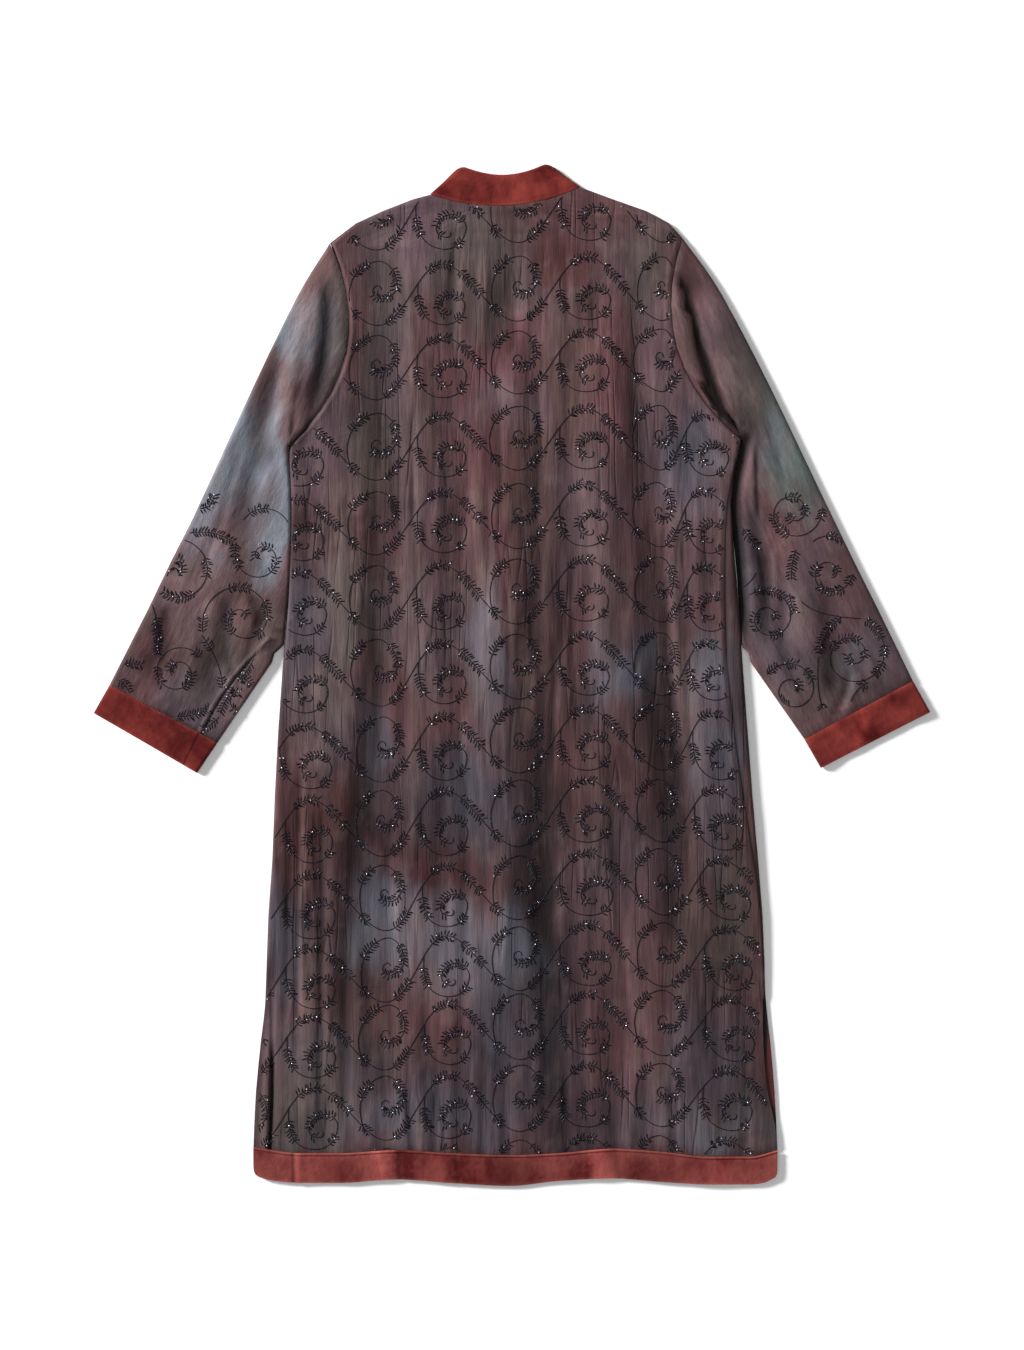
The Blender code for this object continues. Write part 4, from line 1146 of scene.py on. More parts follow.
SILK_CLOTH = silk("tie_dyed_silk", 0.11, 1.0)
SLEEVE_SILK = {
    side: silk("tie_dyed_silk_sleeve_" + side, 0.35, 0.15, lean)
    for side, lean in (("left", SLEEVE_LEAN), ("right", -SLEEVE_LEAN))
}

# %% [markdown]
# ## Velvet
#
# Velvet is dark where one looks down into its pile and bright where the pile leans over. Soft
# streaks of brushed nap lighten and darken it, and the sheen brightens what turns away.

# %% Velvet and facing
PILE_CELLS = 1500.0
TUFT_CELLS = 420.0
WEAVE_CELLS = 1700.0


def velvet(name):
    """Pile that is uneven at two sizes, with a warm sheen."""
    shade = Shade(name)
    dye = shade.attribute("dye", "Color")
    nap = shade.noise(PILE_CELLS, 2.0)
    fine = shade.noise(TUFT_CELLS, 2.0)
    varying = {
        "Base Color": shade.dark(dye, 0.62 + fine * 0.35 + nap * 0.35),
        "Roughness": 0.78 + nap * 0.2,
        "Normal": shade.bump(nap * 0.5 + fine * 0.5, 0.0009),
    }
    constant = {
        "Specular IOR Level": 0.08,
        "Sheen Weight": 0.10,
        "Sheen Roughness": 0.45,
        "Sheen Tint": (1.0, 0.55, 0.48, 1.0),
    }
    return shade.finish(varying, constant)


NAP = (linear(82, 24, 23), linear(127, 51, 45))
HEM_NAP = (linear(84, 29, 29), linear(131, 66, 61))
EDGE_HIGHLIGHT_AND_WEAR = 0.50
EDGE_HIGHLIGHT_WIDTH = 2.0


def velvet_colour(x, y, edge, seed, tall=1.0, nap=NAP):
    """Brushed nap: clouds of lighter and darker pile, and a paler line near each edge, which is
    painted highlight along the edge as well as wear.

    The tone is a sum of noises of three sizes, and the line a bell of the distance from the edge.
    """
    tone = 0.40 + 0.55 * cloudy(x, y, 32, 20 * tall, seed) + 0.24 * cloudy(x, y, 9, 9 * tall, seed + 1)
    tone = tone + 0.20 * cloudy(x, y, 3, 4, seed + 2) + EDGE_HIGHLIGHT_AND_WEAR * np.exp(-((edge / EDGE_HIGHLIGHT_WIDTH) ** 2))
    tone = np.clip(tone, -0.15, 1.5)[..., None]
    return nap[0] + tone * (nap[1] - nap[0])


def plain_cloth(name):
    """Smooth cloth with a fine weave."""
    shade = Shade(name)
    dye = shade.attribute("dye", "Color")
    weave = shade.noise(WEAVE_CELLS, 1.0)
    varying = {
        "Base Color": shade.dark(dye, 0.75 + weave * 0.5),
        "Roughness": 0.6 + weave * 0.2,
        "Normal": shade.bump(weave, 0.0004),
    }
    return shade.finish(varying, {"Specular IOR Level": 0.25})


VELVET_CLOTH = velvet("rust_velvet")
FACING_CLOTH = plain_cloth("dark_red_facing")

# %% [markdown]
# ## The body: back and fronts
#
# The back runs over the top from side seam to side seam, and each front runs from the centre front
# along the floor and round the side. Beside a sewn seam the cloth is pulled down a little, so the
# seam reads as a soft groove.

# %% Rows of the body
def armhole_points(side):
    """Points up the armhole from above the armpit to the shoulder tip, bowed towards the body."""
    armpit = np.array([getattr(SIDE_STATIONS[-1], side + axis) for axis in ("_x", "_y")])
    tip = np.array([getattr(SHOULDER_STATIONS[0], side + axis) for axis in ("_x", "_y")])
    chord = tip - armpit
    towards = np.array([chord[1], -chord[0]]) / np.linalg.norm(chord)
    if side == "right":
        towards = -towards
    steps = np.linspace(0.0, 1.0, ARMHOLE_STEPS + 1)[1:, None]
    return armpit + steps * chord + SLEEVE_ROWS[side][0].bow * parabola(steps) * towards


def body_rows():
    """Rows of the body from the hem seam up to the collar seam, as the solids have them."""
    shares = np.array(BODY_SHARES)
    sides = {}
    for side in ("left", "right"):
        ys = column(SIDE_STATIONS, side + "_y")
        y = ys[0] + shares * (ys[-1] - ys[0])
        lower = np.stack([side_x(side, y), y], axis=1)
        knots = np.arange(len(SHOULDER_STATIONS))
        at = np.linspace(0.0, knots[-1], SHOULDER_ROWS + 1)[1:]
        at = np.concatenate([[NEAR_TIP], at])
        shoulder = points_through(at, knots, SHOULDER_STATIONS, side)
        sides[side] = np.concatenate([lower, armhole_points(side), shoulder])
    middle = (sides["left"][:, 1] + sides["right"][:, 1]) / 2
    armpit = len(shares) - 1
    rise = np.clip((middle - middle[armpit]) / (middle[-1] - middle[armpit]), 0.0, 1.0)
    rows = Rows(sides["left"], sides["right"], -rise * BACK_NECK_DROP, -rise * FRONT_NECK_DROP)
    middle = middle[:, None]
    rows.wave = np.exp(-(middle - middle[0]) / HEM_WAVE_REACH)
    in_vent = middle < VENT_TOP
    rows.vent = in_vent.astype(float)
    rows.open = rows.vent.copy()
    rows.open[armpit:armpit + ARMHOLE_STEPS + 1] = 1.0
    for half_open in (int(in_vent.sum()), armpit - 1, armpit + ARMHOLE_STEPS + 1):
        rows.open[half_open] = 0.5
    near_vent = 1 - ease((middle - VENT_TOP) / VENT_RUN_OUT)
    rows.radius = EDGE_RADIUS + (VENT_TOP_RADIUS - EDGE_RADIUS) * near_vent
    wrap = np.interp(middle, column(RIGHT_WRAP, "y"), column(RIGHT_WRAP, "reach"))
    seam_at = [np.zeros_like(middle), wrap]
    for end, side in ((0, "left"), (1, "right")):
        inset = np.interp(middle, column(VENT_EDGES, "y"), column(VENT_EDGES, side + "_inset"))
        rows.free_inset[end] = np.where(in_vent, inset, SEAM / 2)
        rows.seam_reach[end] = seam_at[end] + SIDE_SEAM / 2
    return rows


coarse_body = body_rows()
ROW_SPACING = 6.0
body = coarse_body.finer(ROW_SPACING)
print(len(body.left), "rows on the body")

# %% [markdown]
# The back has more columns near its sides, where the cloth bends most. Shade is painted into its
# colour: darker in the creases and folds and in a thin line in each armhole seam's groove, with a
# painted highlight on the ridges and beside that line.

# %% The back
BACK_COLUMNS = 232
BACK_EDGE_COLUMNS = 9
CLOSER_AT_SIDES = 0.25
SEAM_DIP = 1.4
SEAM_DIP_WIDTH = 2.6
SEAM_PUFF = 0.45
SEAM_PUFF_AT = 5.5
SEAM_PUFF_WIDTH = 2.2
LOWEST_TOP = 2 * THIN_SILK + LAYER_SPACE


def back_relief(x, y):
    """Creases and crinkles, and the faint stretch lines that cross the cloth below the collar."""
    stretched = 0.5 * cloudy(x, y, 80.0, 7.0, 19) * np.exp(-(((y - 492.0) / 26.0) ** 2))
    return bells(CREASES, x, y) + crinkle(x, y) + stretched


def seam_groove(distance):
    """Height beside a sewn seam: a bell down at the stitches, then a lower one up where it puffs."""
    pulled = -SEAM_DIP * np.exp(-((distance / SEAM_DIP_WIDTH) ** 2))
    return pulled + SEAM_PUFF * np.exp(-(((distance - SEAM_PUFF_AT) / SEAM_PUFF_WIDTH) ** 2))


# Painted shade in a seam's groove and painted highlight on the puff beside it: depth, width, place.
STITCH_SHADE = 4.0
STITCH_SHADE_WIDTH = 0.8
STITCH_HIGHLIGHT = 0.8
STITCH_HIGHLIGHT_AT = 2.6
STITCH_HIGHLIGHT_WIDTH = 1.2
SEAM_SHADE = 3.0
SEAM_SHADE_WIDTH = 1.1
BACK_FOLD_SHADING = 0.85


def seam_shade_and_highlight(distance):
    """Painted shade and highlight beside a seam: a dark line of shade in the groove at the stitches and
    a paler line of highlight beside it.
    """
    pale = STITCH_HIGHLIGHT * np.exp(-((distance / STITCH_HIGHLIGHT_WIDTH - STITCH_HIGHLIGHT_AT) ** 2))
    return STITCH_SHADE * np.exp(-((distance / STITCH_SHADE_WIDTH) ** 2)) - pale


def from_ends(grid):
    """Distance from the first and from the last row, seen from above."""
    flat = grid[..., :2]
    return [np.linalg.norm(flat - flat[[at]], axis=-1) for at in (0, -1)]


def raised(grids, height):
    """Adds a height to both faces of a wall."""
    for grid in grids:
        grid[..., 2] += height


def wraps(rows, end):
    """1 where an end's side seam has come up round the fold, eased to 0 where it lies under it."""
    return ease((rows.seam_reach[end] - 4.0) / 6.0) * (1 - rows.open)


def back_walls():
    """From the left side seam over the top to the right side seam."""
    rows = body
    stops = [EDGE_REACH + reach - SIDE_SEAM / 2 for reach in rows.seam_reach]
    reaches = [spread(rows.seam_reach[end], stops[end], BACK_EDGE_COLUMNS)[:, :-1] for end in (0, 1)]
    wall = Wall(rows, THIN_SILK, back_relief)
    wall.turn(0, reaches[0])
    ends = [rows.share_at(end, stops[end], rows.radius) for end in (0, 1)]
    t = np.linspace(0.0, 1.0, BACK_COLUMNS + 1)
    t = t - CLOSER_AT_SIDES * np.sin(2 * np.pi * t) / (2 * np.pi)
    wall.top(ends[0] + (ends[1] - ends[0]) * t)
    wall.turn(1, reaches[1][:, ::-1])
    return wall


back_wall = back_walls()
back_outer, back_inner = back_wall.grids()
from_hem = np.abs(back_outer[..., 1] - back_outer[:1, :, 1])
from_neck = from_ends(back_outer)[1]
from_left, from_right = (
    np.linalg.norm(back_outer[..., :2] - back_outer[:, [at], :2], axis=-1) for at in (0, -1)
)
armhole = body.open * (1 - body.vent)
at_hem = np.maximum(seam_groove(from_hem), np.minimum(0.0, LOWEST_TOP - back_outer[..., 2]))
groove = at_hem + seam_groove(from_neck)
groove = groove + armhole * (seam_groove(from_left) + seam_groove(from_right))
groove = groove + wraps(body, 1) * seam_groove(from_right)
raised((back_outer, back_inner), groove)
back = cloth_piece("back_panel", back_outer, back_inner, SILK_CLOTH, "back")
back_x, back_y = back_outer[..., 0], back_outer[..., 1]
# Painted shade in the creases, crinkles and folds, and painted highlight on their ridges.
painted_shading = back_relief(back_x, back_y) + BACK_FOLD_SHADING * bells(FOLDS, back_x, back_y)
# Painted shade in the armhole seams' grooves and the right side seam's, with painted highlight beside.
for from_side in (from_left, from_right):
    painted_shading = painted_shading - armhole * seam_shade_and_highlight(from_side)
seam_shows = ease(body.seam_reach[1] / 4.0) * (1 - body.open)
painted_shading = painted_shading - SEAM_SHADE * seam_shows * np.exp(-((from_right / SEAM_SHADE_WIDTH) ** 2))
paint(back, dye_and_shade_colour(back_x, back_y, BACK_PATCHES, painted_shading, 40))

# %% [markdown]
# The fronts lie flat on the floor and meet at the centre. Only the right one comes up over the fold.

# %% The fronts
FRONT_COLUMNS = 60
FRONT_EDGE_COLUMNS = (8, 12)


def front_wall(end, side):
    """From the centre front along the floor and round the side to its seam."""
    rows = coarse_body.finer(2 * ROW_SPACING)
    rows.free_inset[end] = np.full_like(rows.open, SEAM / 2)
    rows.seam_reach[end] = rows.seam_reach[end] - SIDE_SEAM
    wall = Wall(rows, THIN_SILK, back_relief)
    centre = 0.5 + (end - 0.5) * CENTRE_FRONT_SPACE / rows.width
    wall.floor(spread(centre, rows.share_at(end, -EDGE_REACH, rows.radius), FRONT_COLUMNS))
    start = np.full_like(rows.open, -EDGE_REACH)
    wall.turn(end, spread(start, rows.seam_reach[end], FRONT_EDGE_COLUMNS[end])[:, 1:], on_floor=True)
    outer, inner = wall.grids()
    from_seam = np.linalg.norm(outer - outer[:, -1:], axis=-1)
    raised((outer, inner), wraps(rows, end) * seam_groove(from_seam))
    front = cloth_piece("front_panel_" + side, outer, inner, SILK_CLOTH, "front_" + side)
    # Painted shade in a line at the side seam's groove; the front is also made darker all over.
    painted_shading = -0.5 - 2.0 * np.exp(-((from_seam / 2.0) ** 2))
    paint(front, dye_and_shade_colour(outer[..., 0], outer[..., 1], BACK_PATCHES, painted_shading, 60))
    return front, wall.hem_row()


fronts = {}
front_hems = {}
for end, side in ((0, "left"), (1, "right")):
    fronts[side], front_hems[side] = front_wall(end, side)

# %% [markdown]
# ## Sleeves and cuffs
#
# A sleeve is a flattened tube: over the top, round the underarm fold, back along the floor and round
# the outer fold. Its embroidery starts below the elbow, and the silk above it is plain and bright.

# %% Sleeves
SLEEVE_COLUMNS = 150
SLEEVE_FLOOR_COLUMNS = 40
SLEEVE_EDGE_COLUMNS = 8
SLEEVE_ROW_SPACING = 5.0
FOLD_CLEAR = 2.0
ON_TOP_BLEND = 1.5


def tube_walls(rows, thickness, relief, count, floor_count):
    """A flattened tube of cloth, all round: top, fold, floor, fold."""
    past_fold = rows.quarter() + FOLD_CLEAR
    first = np.maximum(rows.share_at(0, past_fold, rows.radius), 1 / ARMHOLE_STEPS)
    last = np.minimum(rows.share_at(1, past_fold, rows.radius), 1 - 1 / ARMHOLE_STEPS)
    reach = spread(rows.quarter(), -rows.quarter(), SLEEVE_EDGE_COLUMNS)
    wall = Wall(rows, thickness, relief)
    wall.top(spread(first, last, count))
    wall.turn(1, reach)
    wall.floor(spread(last, first, floor_count))
    wall.turn(0, -reach)
    return wall


def sleeve_rows(side):
    """Rows of a sleeve from the armhole, where it bows towards the body, to the cuff seam."""
    table = SLEEVE_ROWS[side]
    sign = -1.0 if side == "left" else 1.0
    knots = np.linspace(0.0, 1.0, len(table))
    shares = np.array(SLEEVE_SHARES)
    outer = points_through(shares, knots, table, "outer")
    inner = points_through(shares, knots, table, "inner")
    clear = side_x(side, inner[:, 1]) + sign * SIDE_SPACE
    beside = (inner[:, 1] > SLEEVE_LEAVES_SIDE) & (inner[:, 1] < inner[0, 1] - BELOW_ARMPIT)
    inner[:, 0] = np.where(beside, clear, inner[:, 0])
    chord = inner[0] - outer[0]
    away = sign * np.array([-chord[1], chord[0]]) / np.linalg.norm(chord) * ARMHOLE_SEAM
    outer[0] += away
    inner[0] += away
    bow = -sign * through(shares, knots, column(table, "bow"))
    return Rows(outer, inner, bow, bow, stepped_parabola)


def sleeve_relief(x, y):
    """Creases, crinkles along the sleeve, and soft dents where it lies bunched."""
    u, v = along_sleeve(x, y)
    creases = bells(CREASES, x, y) + bells(STEEP_FOLDS, x, y, 6)
    return creases + 0.5 * crinkle(u + 400, v) + 0.8 * cloudy(u, v, 24, 46, 21)


def edged(grids, at_first=1.0, at_last=0.8):
    """Grooves on top beside a tube's first and last row; returns the distances from both."""
    first, last = from_ends(grids[0])
    on_top = ease((grids[0][..., 2] - EDGE_RADIUS) / ON_TOP_BLEND)
    raised(grids, (at_first * seam_groove(first) + at_last * seam_groove(last)) * on_top)
    return first, last


TUCK = 0.32
TUCK_WIDTH = 14.0
BESIDE_FROM = 20.0
BESIDE_FROM_BLEND = 60.0
BESIDE_TO = 270.0
BESIDE_TO_BLEND = 16.0
SIDE_FROM = -16.5
SIDE_TO = 259.6
FULL_SHARE = 0.35


def beside_body(side, x, y, width):
    """1 at the body's side falling to 0 a width away from it, where the sleeve lies beside the body."""
    beside = ease((y - BESIDE_FROM) / BESIDE_FROM_BLEND) * ease((BESIDE_TO - y) / BESIDE_TO_BLEND)
    away = x - side_x(side, np.clip(y, SIDE_FROM, SIDE_TO))
    return beside * (1 - ease((away - FULL_SHARE * width) / width))


def tuck(side, outer, inner):
    """Flattens the right sleeve's edge where it slips down beside the higher body.

    Heights there are multiplied by a share that falls from 1 to TUCK at the body's side.
    """
    if side == "left":
        return
    near = beside_body(side, outer[..., 0], outer[..., 1], TUCK_WIDTH)
    for grid in (outer, inner):
        grid[..., 2] *= 1 - (1 - TUCK) * near


SNUG_FROM = 24.0
SNUG_BLEND = 9.0


def snug(rows, side):
    """Brings the inner ends of a sleeve's rows up to the body's side, down to where it leaves it."""
    sign = -1.0 if side == "left" else 1.0
    y = rows.right[:, 1]
    share = ease((y - SNUG_FROM) / SNUG_BLEND) * (y < rows.right[0, 1] - BELOW_ARMPIT)
    rows.right[:, 0] += share * (side_x(side, y) + sign * SIDE_SPACE - rows.right[:, 0])
    rows.measure()
    return rows


SLEEVE_MAP_EDGE = 4
SLEEVE_FOLD_SHADING = 0.7
BESIDE_SHADOW = 7.0
BESIDE_SHADOW_WIDTH = 10.0
CUFF_SHADOW = 2.0
CUFF_SHADOW_WIDTH = 3.0
sleeves = {}
sleeve_tops = {}
for side in ("left", "right"):
    rows = snug(sleeve_rows(side).finer(SLEEVE_ROW_SPACING), side)
    wall = tube_walls(rows, THIN_SILK, sleeve_relief, SLEEVE_COLUMNS, SLEEVE_FLOOR_COLUMNS)
    outer, inner = wall.grids()
    from_cuff = edged((outer, inner), at_last=1.0)[1]
    tuck(side, outer, inner)
    node = "sleeve_" + side
    sleeves[side] = cloth_piece("sleeve_silk_" + side, outer, inner, SLEEVE_SILK[side], node, ring=True)
    x, y = outer[..., 0], outer[..., 1]
    # Painted shade and highlight along the sleeve's creases and folds, a painted shadow of the body beside
    # it on the right, and a painted shadow line at the left cuff seam.
    painted_shading = sleeve_relief(x, y) + SLEEVE_FOLD_SHADING * bells(FOLDS, x, y)
    if side == "right":
        painted_shading = painted_shading - BESIDE_SHADOW * beside_body(side, x, y, BESIDE_SHADOW_WIDTH)
    else:
        at_cuff = CUFF_SHADOW * np.exp(-((from_cuff / CUFF_SHADOW_WIDTH) ** 2))
        painted_shading = painted_shading - at_cuff * ease((x + 405.0) / 30.0)
    paint(sleeves[side], dye_and_shade_colour(x, y, SLEEVE_PATCHES, painted_shading, 80))
    sleeve_tops[side] = np.concatenate(
        [outer[:, -SLEEVE_MAP_EDGE:], outer[:, :SLEEVE_COLUMNS + 1 + SLEEVE_MAP_EDGE]], axis=1)

# %% [markdown]
# A cuff is a shorter tube of velvet on straight rows, sewn on with the same small gap as in the
# solids. The left one shows its underarm seam.

# %% Cuffs
CUFF_COLUMNS = 120
CUFF_FLOOR_COLUMNS = 40
CUFF_ROWS = 13
CUFF_SEAMS = (
    Fold("underarm seam of the left cuff", -339, -54, -354, -84, -369, -114, 1.0, -1.0),
    Fold("fold of the right cuff", 390, -30, 384, -62, 378, -94, 7.0, 0.5),
)


def cuff_walls(side):
    """The cuff's tube, on straight rows between the sleeve's end and the wrist edge."""
    last, end = SLEEVE_ROWS[side][-1], CUFF_ENDS[side]
    start = np.array([[last.outer_x, last.outer_y], [last.inner_x, last.inner_y]])
    finish = np.array([[end.outer_x, end.outer_y], [end.inner_x, end.inner_y]])
    shares = np.linspace(0.0, 1.0, CUFF_ROWS)[:, None]
    outer, inner = (start[i] + shares * (finish[i] - start[i]) for i in (0, 1))
    down = (finish - start).mean(axis=0)
    down *= SEAM / np.linalg.norm(down)
    outer[0] += down
    inner[0] += down
    rows = Rows(outer, inner, 0.0, 0.0)
    return tube_walls(rows, THIN_VELVET, cuff_relief, CUFF_COLUMNS, CUFF_FLOOR_COLUMNS)


def cuff_relief(x, y):
    """Soft dents in the velvet, and the cuffs' seam and fold."""
    return 0.35 * cloudy(x, y, 18, 30, 31) + bells(CUFF_SEAMS, x, y)


cuffs = {}
for side in ("left", "right"):
    outer, inner = cuff_walls(side).grids()
    from_seam, from_edge = edged((outer, inner), at_first=0.8)
    cuffs[side] = cloth_piece("cuff_velvet_" + side, outer, inner, VELVET_CLOTH, "cuff_" + side, ring=True)
    x, y = outer[..., 0], outer[..., 1]
    colour = velvet_colour(x, y, np.minimum(from_seam, from_edge), 120)
    # Painted shade in the left cuff's seam crease and painted highlight on the right cuff's fold, by the
    # bells that shape them.
    paint(cuffs[side], 0.90 * colour * np.exp(0.9 * bells(CUFF_SEAMS, x, y))[..., None])

# %% [markdown]
# ## Collar
#
# The stand collar is a doubled strip of velvet. It lies folded flat, its back half on top and its
# two front halves below, so its ends show as folded points above the shoulders.

# %% Collar
COLLAR_COLUMNS = 70
COLLAR_FLOOR_COLUMNS = 30
COLLAR_EDGE_COLUMNS = 18
COLLAR_ROW_SPACING = 3.0


def collar_walls():
    """From the centre front along the floor, round the left fold, over the top and back."""
    coarse = np.array(column(COLLAR_ROWS, "share"))
    left, right = (
        np.array([(getattr(r, side + "_x"), getattr(r, side + "_y")) for r in COLLAR_ROWS])
        for side in ("left", "right")
    )
    top_bow = -(BACK_NECK_DROP + coarse * (COLLAR_TOP_DROP_BACK - BACK_NECK_DROP))
    floor_bow = -(FRONT_NECK_DROP + coarse * (COLLAR_TOP_DROP_FRONT - FRONT_NECK_DROP))
    left[0, 1] += NECK_SEAM
    right[0, 1] += NECK_SEAM
    top_bow[0] -= NECK_SEAM - SEAM
    floor_bow[0] -= NECK_SEAM - SEAM
    rows = Rows(left, right, top_bow, floor_bow)
    for end in (0, 1):
        rows.slant[end][0] = coarse_body.slant[end][-1]
    rows = rows.finer(COLLAR_ROW_SPACING)
    count = len(rows.left)
    edge = np.full((count, 1), EDGE_REACH)
    reach = spread(-edge, edge, COLLAR_EDGE_COLUMNS)
    wall = Wall(rows, THIN_VELVET, cuff_relief)

    def floor_half(end):
        centre = 0.5 + (end - 0.5) * CENTRE_FRONT_SPACE / rows.width
        return spread(centre, rows.share_at(end, -EDGE_REACH, rows.radius), COLLAR_FLOOR_COLUMNS)

    wall.floor(floor_half(0)[:, :-1])
    wall.turn(0, reach)
    ends = [rows.share_at(end, edge, rows.radius) for end in (0, 1)]
    wall.top(spread(*ends, COLLAR_COLUMNS)[:, 1:-1])
    wall.turn(1, reach[:, ::-1])
    wall.floor(floor_half(1)[:, -2::-1])
    return wall


outer, inner = collar_walls().grids()
from_seam, from_edge = edged((outer, inner))
collar = cloth_piece("collar_velvet", outer, inner, VELVET_CLOTH, "collar")
paint(collar, velvet_colour(outer[..., 0], outer[..., 1], np.minimum(from_seam, from_edge), 130))

# %% [markdown]
# ## Hem band
#
# The band is sewn on with a narrow roll along its top edge, which catches the light, and a groove
# just below it. Its ends are rounded at the lower corners.

# %% Hem bands
Profile = namedtuple("Profile", "depth rise")
BAND_PROFILE = (
    Profile(0.0, -0.5),
    Profile(0.7, 0.5),
    Profile(1.5, 0.9),
    Profile(2.4, 0.45),
    Profile(3.2, -0.7),
    Profile(4.2, -0.25),
    Profile(6.5, 0.05),
    Profile(26.0, 0.05),
    Profile(31.0, -0.15),
    Profile(36.0, -0.8),
)
BAND_CREASES = (
    Fold("crease of the band", -241.5, -500, -240, -545, -238, -590, 1.8, -1.1),
    Fold("swell beside it", -235, -500, -234, -545, -232, -590, 4.0, 0.8),
    Fold("crease two of the band", -124, -500, -123, -545, -118, -590, 3.0, -1.0),
    Fold("swell two of the band", -142, -500, -140, -545, -138, -590, 12.0, 1.0),
    Fold("dip of the band", 0, -500, 6, -545, 10, -590, 30.0, -1.0),
    Fold("swell three of the band", 92, -500, 97, -545, 104, -590, 11.0, 1.1),
    Fold("crease three of the band", 112, -500, 118, -545, 128, -590, 4.0, -0.7),
    Fold("dip two of the band", 150, -500, 150, -545, 150, -590, 16.0, -0.7),
    Fold("swell four of the band", 228, -500, 230, -545, 232, -590, 16.0, 0.9),
    Fold("crease four of the band", -62, -500, -60, -545, -52, -590, 3.0, -0.6),
)
BAND_SHARES = (0.0, 0.02, 0.04, 0.055, 0.07, 0.09, 0.11, 0.14, 0.2, 0.3, 0.42, 0.55, 0.68, 0.8, 0.9,
               0.96, 1.0)


def band_walls(seam, on_top, round_ends):
    """A length of the band, hung from the points of the panel's own hem row.

    Height is the panel's height at the band plus a profile of the depth below the seam.
    """
    from_corner = (np.abs(seam[:, 0] - seam[at, 0]) for at in (0, -1))
    near = [np.maximum(1 - distance / CORNER_LENGTH, 0.0) ** 2 for distance in from_corner]
    corner = round_ends[0] * near[0] - round_ends[1] * near[1]
    share = np.array(BAND_SHARES)[:, None]
    inset = through(share, column(BAND_ROWS, "share"), column(BAND_ROWS, "corner_inset"))
    x = seam[:, 0] + inset * corner
    xs = column(HEM_LINE, "x")
    depth = through(x, xs, column(HEM_LINE, "seam_y")) - through(x, xs, column(HEM_LINE, "edge_y"))
    y = seam[:, 1] - SEAM - share * (depth - SEAM)
    rise = np.interp(share * depth, column(BAND_PROFILE, "depth"), column(BAND_PROFILE, "rise"))
    bottom = np.zeros_like(x)
    if on_top:
        wave = 0.5 * cloudy(x, y, 26, 60, 33) + bells(BAND_CREASES, x, y)
        bottom = np.maximum(LOFT + bells(FOLDS, x, y) + wave - VELVET, VELVET + SEAM) + 0.2
        top = bottom + THIN_VELVET + rise
    else:
        top = bottom + THIN_VELVET + np.zeros_like(rise)
    return [np.stack([x, y, z], axis=-1) for z in (top, bottom)]


def along_seam(seam, spacing):
    """The seam's points with more put in between them."""
    length = np.concatenate([[0.0], np.cumsum(np.linalg.norm(np.diff(seam, axis=0), axis=1))])
    at = np.linspace(0.0, length[-1], int(length[-1] / spacing) + 1)
    return np.stack([np.interp(at, length, seam[:, k]) for k in (0, 1)], axis=1)


BAND_SPACING = 1.5
bands = {}
band_seams = (
    ("back", back_wall.hem_row(), True, (1, 1)),
    ("front_left", front_hems["left"], False, (0, -1)),
    ("front_right", front_hems["right"], False, (0, 1)),
)
for place, seam, shows, round_ends in band_seams:
    outer, inner = band_walls(along_seam(seam, BAND_SPACING), shows, round_ends)
    name = "hem_band_" + place
    bands[place] = cloth_piece("velvet_" + name, outer, inner, VELVET_CLOTH, name)
    x, y = outer[..., 0], outer[..., 1]
    edge = np.minimum(np.abs(y - y[:1]), np.abs(y - y[-1:]))
    colour = velvet_colour(x, y, edge, 140, 1.8, HEM_NAP)
    # Painted shade in the band's creases and dips and painted highlight on its swells, by the bells that
    # shape them.
    paint(bands[place], colour * np.exp(0.36 * bells(BAND_CREASES, x, y))[..., None])

# %% [markdown]
# A strip of dark red cloth lies between the layers in the right vent. Only its outer part catches
# the light, and a table gives how wide that part is down the vent.

# %% The facing in the right vent
FACING_COLUMNS = 16
FACING_IN_SHADE = linear(13, 8, 9)
FACING_LIT = linear(70, 24, 24)
Lit = namedtuple("Lit", "y width")
LIT_WIDTHS = (
    Lit(-484.0, 0),
    Lit(-468.0, 6.6),
    Lit(-451.0, 8.6),
    Lit(-429.0, 8),
    Lit(-412.0, 5),
    Lit(-390.0, 1.6),
    Lit(-372.0, 0),
)
inset = spread(np.full_like(body.open, FACING_WIDTH), np.full_like(body.open, SEAM), FACING_COLUMNS)
share = 1 - inset / (body.width * body.slant[1])
in_vent = body.vent[:, 0] > 0.99
x, y = (grid[in_vent] for grid in body.place(share, 1.0))
facing_floor = SILK + SEAM
layers = [np.stack([x, y, np.full_like(x, z)], axis=-1) for z in (facing_floor + FACING, facing_floor)]
facing = cloth_piece("vent_facing", *layers, FACING_CLOTH, "vent_facing_right")
lit_width = through(y, column(LIT_WIDTHS, "y"), column(LIT_WIDTHS, "width"))
lit = ease((lit_width - inset[in_vent]) / 2.2 + 0.4) * (lit_width > 0.1)
paint(facing, FACING_IN_SHADE + lit[..., None] * (FACING_LIT - FACING_IN_SHADE))

# %% [markdown]
# ## A map of each panel's height
#
# The embroidery lies on the cloth, so it has to know how high the cloth is below each stitch. The
# rows of a panel are read off at even steps across, then down, which gives a map on a square grid.
# A sleeve lies at a slant, so its map is turned to run along the sleeve.

